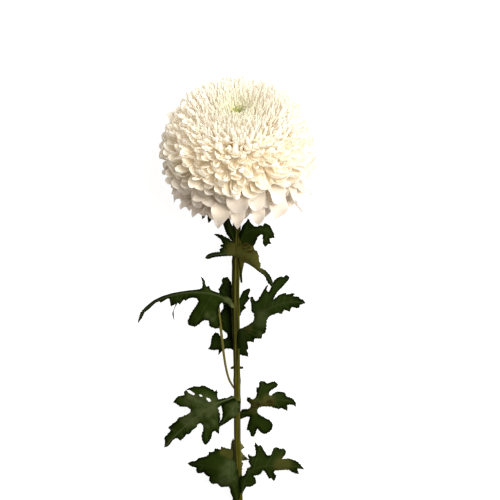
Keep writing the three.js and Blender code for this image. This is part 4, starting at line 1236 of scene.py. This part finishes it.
        "rib": [(-9.2, -189, 3), (-9.6, -178, 1.8), (-10, -165, 1.5), (-10, -152, 1.4), (-13, -143.4, 1.2)],
        "left": [(-12, -186), (-14.6, -176), (-15.4, -165), (-14.6, -156), (-14.4, -148)],
        "right": [
            (-7.6, -180), (-6.6, -170), (-6, -165), (-5.4, -162.4), (-6.6, -160.4), (-0.9, -159.6),
            (-3.5, -157.6), (-6, -154.6), (-6.8, -152.6), (-4.4, -150), (-6.3, -148), (-7.5, -145.5),
            (-10.4, -147),
        ],
    },
]

blade = {
    "edgeStep": 0.45,
    "grid": 1.05,
    "scatter": 0.12,  # against the grid
    "thickness": 0.34,
    "lowest": 0.75,
    "sharp": 0.5,
    "toothStep": 2.1,
    "toothHeight": 0.75,
    "wave": 0.5,
    "quilt": 0.4,
    "groove": 1.3,  # width of the furrow at a vein
    "ribFoot": 0.95,
    "ribTip": 0.15,
    "ribDrop": 0.33,
    "veinLead": 0.55,  # how far before its lobe a vein leaves the rib, against its length
    "shortestVein": 4.5,
    "noVein": 9.0,  # the distance stored where there is none
}


def patched(points, patches):  # how far each point lies within soft round patches
    amount = np.zeros(len(points))
    for x, y, radius in patches:
        away = np.hypot(points[:, 0] - x, points[:, 1] - y)
        amount = np.maximum(amount, 1 - smoothstep(away, 0.45 * radius, radius))
    return amount


def nearest(points, line):  # for each point its distance from a line and the place there
    a, b = line[:-1], line[1:]
    way = b - a
    share = ((points[:, None, :2] - a[None, :, :2]) * way[None, :, :2]).sum(2)
    share = np.clip(share / np.maximum((way[:, :2] ** 2).sum(1), 1e-9), 0, 1)
    spots = a[None] + share[..., None] * way[None]
    distance = np.linalg.norm(points[:, None, :2] - spots[..., :2], axis=2)
    best = distance.argmin(axis=1)
    row = np.arange(len(points))
    return distance[row, best], best + share[row, best]


def ribHeight(points, rib):  # height of the rib beside each point, blended so that bends leave no crease
    distance = np.linalg.norm(points[:, None, :2] - rib[None, :, :2], axis=2)
    weight = (distance + 0.4) ** -5.0
    return (weight * rib[None, :, 2]).sum(1) / weight.sum(1)


def inside(points, ring):  # the even-odd rule
    a, b = ring, np.roll(ring, -1, axis=0)
    x, y = points[:, None, 0], points[:, None, 1]
    span = (a[None, :, 1] > y) != (b[None, :, 1] > y)
    rise = np.where(np.abs(b[:, 1] - a[:, 1]) < 1e-12, 1e-12, b[:, 1] - a[:, 1])
    reach = a[None, :, 0] + (y - a[None, :, 1]) * ((b - a)[:, 0] / rise)[None]
    return (span & (x < reach)).sum(1) % 2 == 1


def closed(ring):
    return np.vstack([ring, ring[:1]])


def lobeVeins(edge, rib, ring):  # a vein for each lobe: where its edge stands farthest from the rib
    distance, spot = nearest(np.array(edge, float), rib)
    veins = []
    for i in range(1, len(edge) - 1):
        if distance[i] < max(distance[i - 1], distance[i + 1], blade["shortestVein"]):
            continue
        start = max(spot[i] - blade["veinLead"] * distance[i] / blade["edgeStep"], 1)
        foot = rib[int(start)][:2]
        tip = np.array(edge[i], float)
        turn = lerp(foot, tip, 0.5) + (rib[min(int(start) + 6, len(rib) - 1)][:2] - foot) * 0.25
        share = np.linspace(0, 0.95, max(4, int(distance[i] / 0.8)))[:, None]
        vein = foot * (1 - share) ** 2 + turn * 2 * share * (1 - share) + tip * share ** 2
        kept = inside(vein, ring) & (nearest(vein, closed(ring))[0] > 0.35)
        kept[0] = True
        end = len(vein) if kept.all() else kept.argmin()
        if end > 2:
            veins.append(vein[:end])
    return veins


def serrated(outline, rib, smooth, draw):  # small uneven teeth, leaning to the tip
    way = np.gradient(outline, axis=0)
    way /= np.linalg.norm(way, axis=1)[:, None]
    ring = np.vstack([outline, rib[::-1, :2]])
    after = np.roll(ring, -1, axis=0)
    side = np.sign((ring[:, 0] * after[:, 1] - ring[:, 1] * after[:, 0]).sum())
    length = np.arange(len(outline)) * blade["edgeStep"]
    stops = np.append(0, np.cumsum(draw.uniform(0.5, 1.5, len(outline))) * blade["toothStep"])
    tooth = np.searchsorted(stops, length, side="right") - 1
    share = (length - stops[tooth]) / (stops[tooth + 1] - stops[tooth])
    height = share ** 1.5 * draw.uniform(0.1, 1, len(stops))[tooth] * blade["toothHeight"]
    height = height * smoothstep(np.minimum(length, length[-1] - length), 0.5, 3)
    height = height * (1 - patched(outline, smooth))
    return outline + np.stack([way[:, 1], -way[:, 0]], axis=1) * (side * height)[:, None]


def halfBlade(edge, rib, holes, smooth, draw):  # flat triangles of one half, and its veins
    outline = smoothLine([rib[0][:2], *edge, rib[-1][:2]], blade["edgeStep"], blade["sharp"])
    outline = serrated(outline, rib, smooth, draw)
    ring = np.vstack([outline, rib[-2:0:-1, :2]])
    veins = lobeVeins(edge, rib, ring)
    low, high = ring.min(axis=0), ring.max(axis=0)
    grid = blade["grid"]
    columns, rows = np.meshgrid(np.arange(low[0], high[0], grid), np.arange(low[1], high[1], grid * 0.866))
    columns = columns + (np.arange(len(columns)) % 2)[:, None] * grid / 2
    spots = np.stack([columns.ravel(), rows.ravel()], axis=1)
    spots = spots + draw.uniform(-blade["scatter"], blade["scatter"], spots.shape) * grid
    spots = spots[inside(spots, ring)]
    for line in [closed(ring), *veins, *[closed(hole) for hole in holes]]:
        spots = spots[nearest(spots, line)[0] > 0.45 * grid]
    points = [*ring, *spots]
    edges = []
    for line, count in [*[(vein, len(vein) - 1) for vein in veins], *[(hole, len(hole)) for hole in holes]]:
        start = len(points)
        points += [*line]
        edges += [(start + i, start + (i + 1) % len(line)) for i in range(count)]
    outer = [list(range(len(ring)))]
    result = geometry.delaunay_2d_cdt([Vector(p) for p in points], edges, outer, 1, 1e-4)
    flat = np.array([tuple(p) for p in result[0]])
    faces = np.array(result[2])
    for hole in holes:
        faces = faces[~inside(flat[faces].mean(axis=1), hole)]
    return flat, faces, outline, veins


def bladeHeight(flat, leaf, side, rib, fromVein, fromRib, fromEdge):
    height = ribHeight(flat, rib) - leaf["fall"][side] * nearest(flat, rib)[0]
    between = np.minimum(np.minimum(fromVein, fromRib) / blade["groove"], 1)
    height += blade["quilt"] * between * (2 - between) * smoothstep(fromEdge, 0, 2.5)
    wave = np.sin(flat[:, 0] * 0.5 + side) * np.cos(flat[:, 1] * 0.43 + len(leaf["left"]))
    height += blade["wave"] * wave * smoothstep(fromRib, 1, 8)
    return blade["lowest"] + np.logaddexp(0, (height - blade["lowest"]) / 0.5) * 0.5


def bladeTop(leaf, rib, draw):  # rows of x, y, height, fromVein, fromRib and fromEdge, and the faces
    bare = int(nearest(np.array(leaf["rib"][leaf.get("stalk", 0)], float)[None], rib)[1][0])
    index, rows, faces = {}, [], []
    for side, edge in enumerate((leaf["left"], leaf["right"])):
        holes = [np.array(hole, float) for hole in leaf.get("holes", [])] if side else []
        flat, triangles, outline, veins = halfBlade(edge, rib, holes, leaf.get("smooth", []), draw)
        noVein = np.full(len(flat), blade["noVein"])
        distances = [
            np.min([nearest(flat, vein)[0] for vein in veins] or [noVein], axis=0),
            nearest(flat, rib)[0],
            nearest(flat, outline)[0],
        ]
        height = bladeHeight(flat, leaf, side, rib[bare:], *distances)
        names = []
        for x, y, *values in zip(*flat.T, height, *distances):
            key = (round(x, 3), round(y, 3))
            if key not in index:
                index[key] = len(rows)
                rows.append((x, y, *values))
            names.append(index[key])
        for a, b, c in triangles:
            corners = (names[a], names[b], names[c])
            if len(set(corners)) == 3:
                turn = np.cross(flat[b] - flat[a], flat[c] - flat[a])
                faces.append(corners if turn > 0 else (corners[0], corners[2], corners[1]))
    return np.array(rows), faces


def thickened(top, faces):  # the upper side, its copy below, and the rim between them
    triangles = np.array(faces)
    normal = np.zeros_like(top)
    first, second, third = (top[triangles[:, corner]] for corner in range(3))
    cross = np.cross(second - first, third - first)
    for corner in range(3):
        np.add.at(normal, triangles[:, corner], cross)
    normal /= np.maximum(np.linalg.norm(normal, axis=1), 1e-9)[:, None]
    shift = normal * blade["thickness"] / 2
    count = len(top)
    sides = {(a, b) for face in faces for a, b in zip(face, (*face[1:], face[0]))}
    rim = [(a, b) for a, b in sides if (b, a) not in sides]
    shell = faces + [(count + a, count + c, count + b) for a, b, c in faces]
    shell += [(a, count + a, count + b, b) for a, b in rim]
    return np.vstack([top + shift, top - shift]), shell


def ribRadius(along, turn):
    return lerp(blade["ribFoot"], blade["ribTip"], along ** 0.6)


def bladeShells(leaf, draw):
    rib = smoothLine(leaf["rib"], blade["edgeStep"])
    rows, faces = bladeTop(leaf, rib, draw)
    sheet = (*thickened(rows[:, :3], faces), *np.tile(rows[:, 3:].T, 2))
    points, faces, along = tube(rib - np.array((0, 0, blade["ribDrop"])), ribRadius, 10)
    far = np.full(len(points), blade["noVein"])
    points, faces, furrow, ribGap, edgeGap = joined([sheet, (points, faces, far, 0 * along - 1, far)])
    values = {"furrow": furrow, "ribGap": ribGap, "edgeGap": edgeGap}
    for patch in ("pale", "olive", "creased", "yellow"):
        values[patch] = patched(points, leaf.get(patch, []))
    values["ribTone"] = np.full(len(points), leaf.get("ribTone", 1.0))
    values["shade"] = np.full(len(points), leaf.get("shade", 0.0))
    return points, faces, values


leafLook = {
    # dark serves as painted shade near the edges, and as what the shade value darkens a leaf towards
    "dark": (0.0024, 0.0054, 0.0003),
    "green": (0.0134, 0.0232, 0.0024),
    "pale": (0.038, 0.050, 0.016),
    "olive": (0.042, 0.042, 0.0080),
    "crease": (0.019, 0.0145, 0.0022),
    "yellow": (0.098, 0.094, 0.032),
    "vein": (0.026, 0.038, 0.011),
    "rib": (0.044, 0.054, 0.021),
    "roughness": 0.47,
    "cells": 620.0,
    "cellHeight": 0.09 * mm,
}


def leafColour(tree):
    look = leafLook
    # painted shade: darker near the edge, where the blade curves down
    edge = attribute(tree, "edgeGap").step(0.0, 3.2) * 0.6 + noise(tree, 90, 4) * 0.8
    colour = mixColour(edge.step(0.3, 1.1), look["dark"], look["green"])
    colour = mixColour(attribute(tree, "pale") * noise(tree, 130, 4).step(0.25, 0.6), colour, look["pale"])
    colour = mixColour(attribute(tree, "olive"), colour, look["olive"])
    # painted shade along the creases
    crease = streaks(tree, (110, 620, 300), 3, (0, 0, radians(35))).step(0.42, 0.54)
    colour = mixColour(attribute(tree, "creased") * crease, colour, look["crease"])
    faded = attribute(tree, "yellow") * noise(tree, 160, 4).step(0.2, 0.6)
    colour = mixColour(faded, colour, look["yellow"])
    colour = mixColour(attribute(tree, "furrow").step(0.0, 0.8, 0.6, 0.0), colour, look["vein"])
    rib = attribute(tree, "ribGap").step(0.0, 0.9, 0.85, 0.0) * attribute(tree, "ribTone")
    colour = mixColour(rib, colour, look["rib"])
    return mixColour(attribute(tree, "shade"), colour, look["dark"])


def leafRoughness(tree):
    return noise(tree, 200) * 0.3 + leafLook["roughness"]


def leafRelief(tree):
    cells = addNode(tree, "ShaderNodeTexVoronoi", {"feature": "DISTANCE_TO_EDGE"}, {
        "Vector": place(tree), "Scale": leafLook["cells"],
    })
    return cells.step(0.0, 0.25) * 0.5 + noise(tree, 1500) * 0.5


leafMaterial = material(
    "leafFlesh", leafColour, leafRoughness, leafRelief, leafLook["cellHeight"], Specular_IOR_Level=0.01,
)
for number, leaf in enumerate(leaves):
    points, faces, values = bladeShells(leaf, np.random.default_rng(number))
    piece = meshPiece(leaf["name"].replace("leaf", "blade"), points, faces, leafMaterial, **values)
    finished(piece, "leaf", leaf["name"])


# Short hairs on the stem and the shoot

hairs = {
    "density": 400000.0,  # on a square metre
    "length": 0.7 * mm,
    "width": 0.035 * mm,
    "seed": 3,
    "greys": ((0.07, 0.07, 0.035), (0.13, 0.13, 0.08)),
    "carriers": {  # the piece that each grows on, its slot and its node
        "stem_hairs": ("ribbed_stem", "stem", "stem"),
        "shoot_hairs": ("bare_shoot", "shoot", "side_shoot"),
    },
}


def hairTree():
    tree, given = geometryTree("hairs", {
        "Carrier": ("NodeSocketGeometry", None),
        "Density": ("NodeSocketFloat", hairs["density"]),
        "Length": ("NodeSocketFloat", hairs["length"]),
        "Width": ("NodeSocketFloat", hairs["width"]),
        "Seed": ("NodeSocketInt", hairs["seed"]),
        "Material": ("NodeSocketMaterial", None),
    })
    spots = addNode(tree, "GeometryNodeDistributePointsOnFaces", {}, {
        "Mesh": given["Carrier"], "Density": given["Density"], "Seed": given["Seed"],
    })
    hair = addNode(tree, "GeometryNodeMeshCone", {}, {
        "Vertices": 3, "Radius Top": 0.0, "Radius Bottom": given["Width"], "Depth": given["Length"],
    })
    size = addNode(tree, "FunctionNodeRandomValue", {"data_type": "FLOAT"}, {
        "Min_001": 0.5, "Max_001": 1.2, "Seed": given["Seed"] + 1,
    })
    lean = addNode(tree, "FunctionNodeRandomValue", {"data_type": "FLOAT_VECTOR"}, {
        "Min": (-0.5, -0.5, 0), "Max": (0.5, 0.5, 6.28), "Seed": given["Seed"] + 2,
    })
    turned = addNode(tree, "FunctionNodeRotateRotation", {"rotation_space": "LOCAL"}, {
        "Rotation": spots["Rotation"], "Rotate By": lean,
    })
    wire = addNode(tree, "GeometryNodeInstanceOnPoints", {}, {
        "Points": spots, "Instance": hair, "Rotation": turned, "Scale": size,
    })
    endTree(tree, wire, given["Material"])
    return tree


def hairColour(tree):
    return mixColour(noise(tree, 100), *hairs["greys"])


hairMaterial = material("hairSkin", hairColour, 0.6, Specular_IOR_Level=0.1)
for name, (carrier, slot, node) in hairs["carriers"].items():
    grown = bpy.data.objects[carrier].data.copy()
    values = {"Seed": hairs["seed"], "Material": hairMaterial}
    finished(pieceFromTree(name, hairTree(), values, grown), slot, node)


# The studio

studio = {
    "floor": ((0.16, 0.16, 0.16), (0.17, 0.17, 0.17)),
    "floorGlow": 0.94,
    "floorHalf": 3.0,
    "floorHeight": -0.3 * mm,
    "world": 0.25,
    "worldColour": (1, 0.84, 0.69),
    "lampPlace": (0.78, 0.5, 1.25),
    "lampTarget": (0, 0.05, 0.03),
    "lampSize": 1.2,
    "lampWatts": 54.0,
    "lampColour": (1, 0.98, 0.94),
}


def addWorld():
    world = bpy.data.worlds.new("studio")
    world.use_nodes = True
    background = world.node_tree.nodes["Background"]
    background.inputs["Color"].default_value = (*studio["worldColour"], 1)
    background.inputs["Strength"].default_value = studio["world"]
    bpy.context.scene.world = world


def addLamp():
    light = bpy.data.lights.new("keyLamp", "AREA")
    light.size = studio["lampSize"]
    light.energy = studio["lampWatts"]
    light.color = studio["lampColour"]
    lamp = bpy.data.objects.new("keyLamp", light)
    lamp.location = studio["lampPlace"]
    aim = Vector(studio["lampTarget"]) - lamp.location
    lamp.rotation_euler = aim.to_track_quat("-Z", "Y").to_euler()
    bpy.context.scene.collection.objects.link(lamp)


def floorColour(tree):
    return mixColour(noise(tree, 8) * 0.1, *studio["floor"])


def addFloor():
    half = studio["floorHalf"]
    corners = [(-half, -half), (half, -half), (half, half), (-half, half)]
    mesh = bpy.data.meshes.new("studioFloor")
    mesh.from_pydata([(x, y, studio["floorHeight"]) for x, y in corners], [], [(0, 1, 2, 3)])
    mesh.materials.append(material(
        "floorPaint", floorColour, 0.8, Emission_Color=(1, 1, 1, 1), Emission_Strength=studio["floorGlow"],
    ))
    shownPiece("studioFloor", mesh)


def addCamera():
    camera = bpy.data.cameras.new("camera")
    camera.sensor_width = 36
    camera.lens = camera.sensor_width * photo["cameraHeight"] / photo["width"]
    camera.clip_end = 20
    holder = bpy.data.objects.new("camera", camera)
    holder.location = (photoMiddle + Vector((0, 0, photo["cameraHeight"]))) * mm
    bpy.context.scene.collection.objects.link(holder)
    bpy.context.scene.camera = holder


addWorld()
addLamp()
addFloor()
addCamera()
bpy.context.scene.view_settings.view_transform = "Standard"
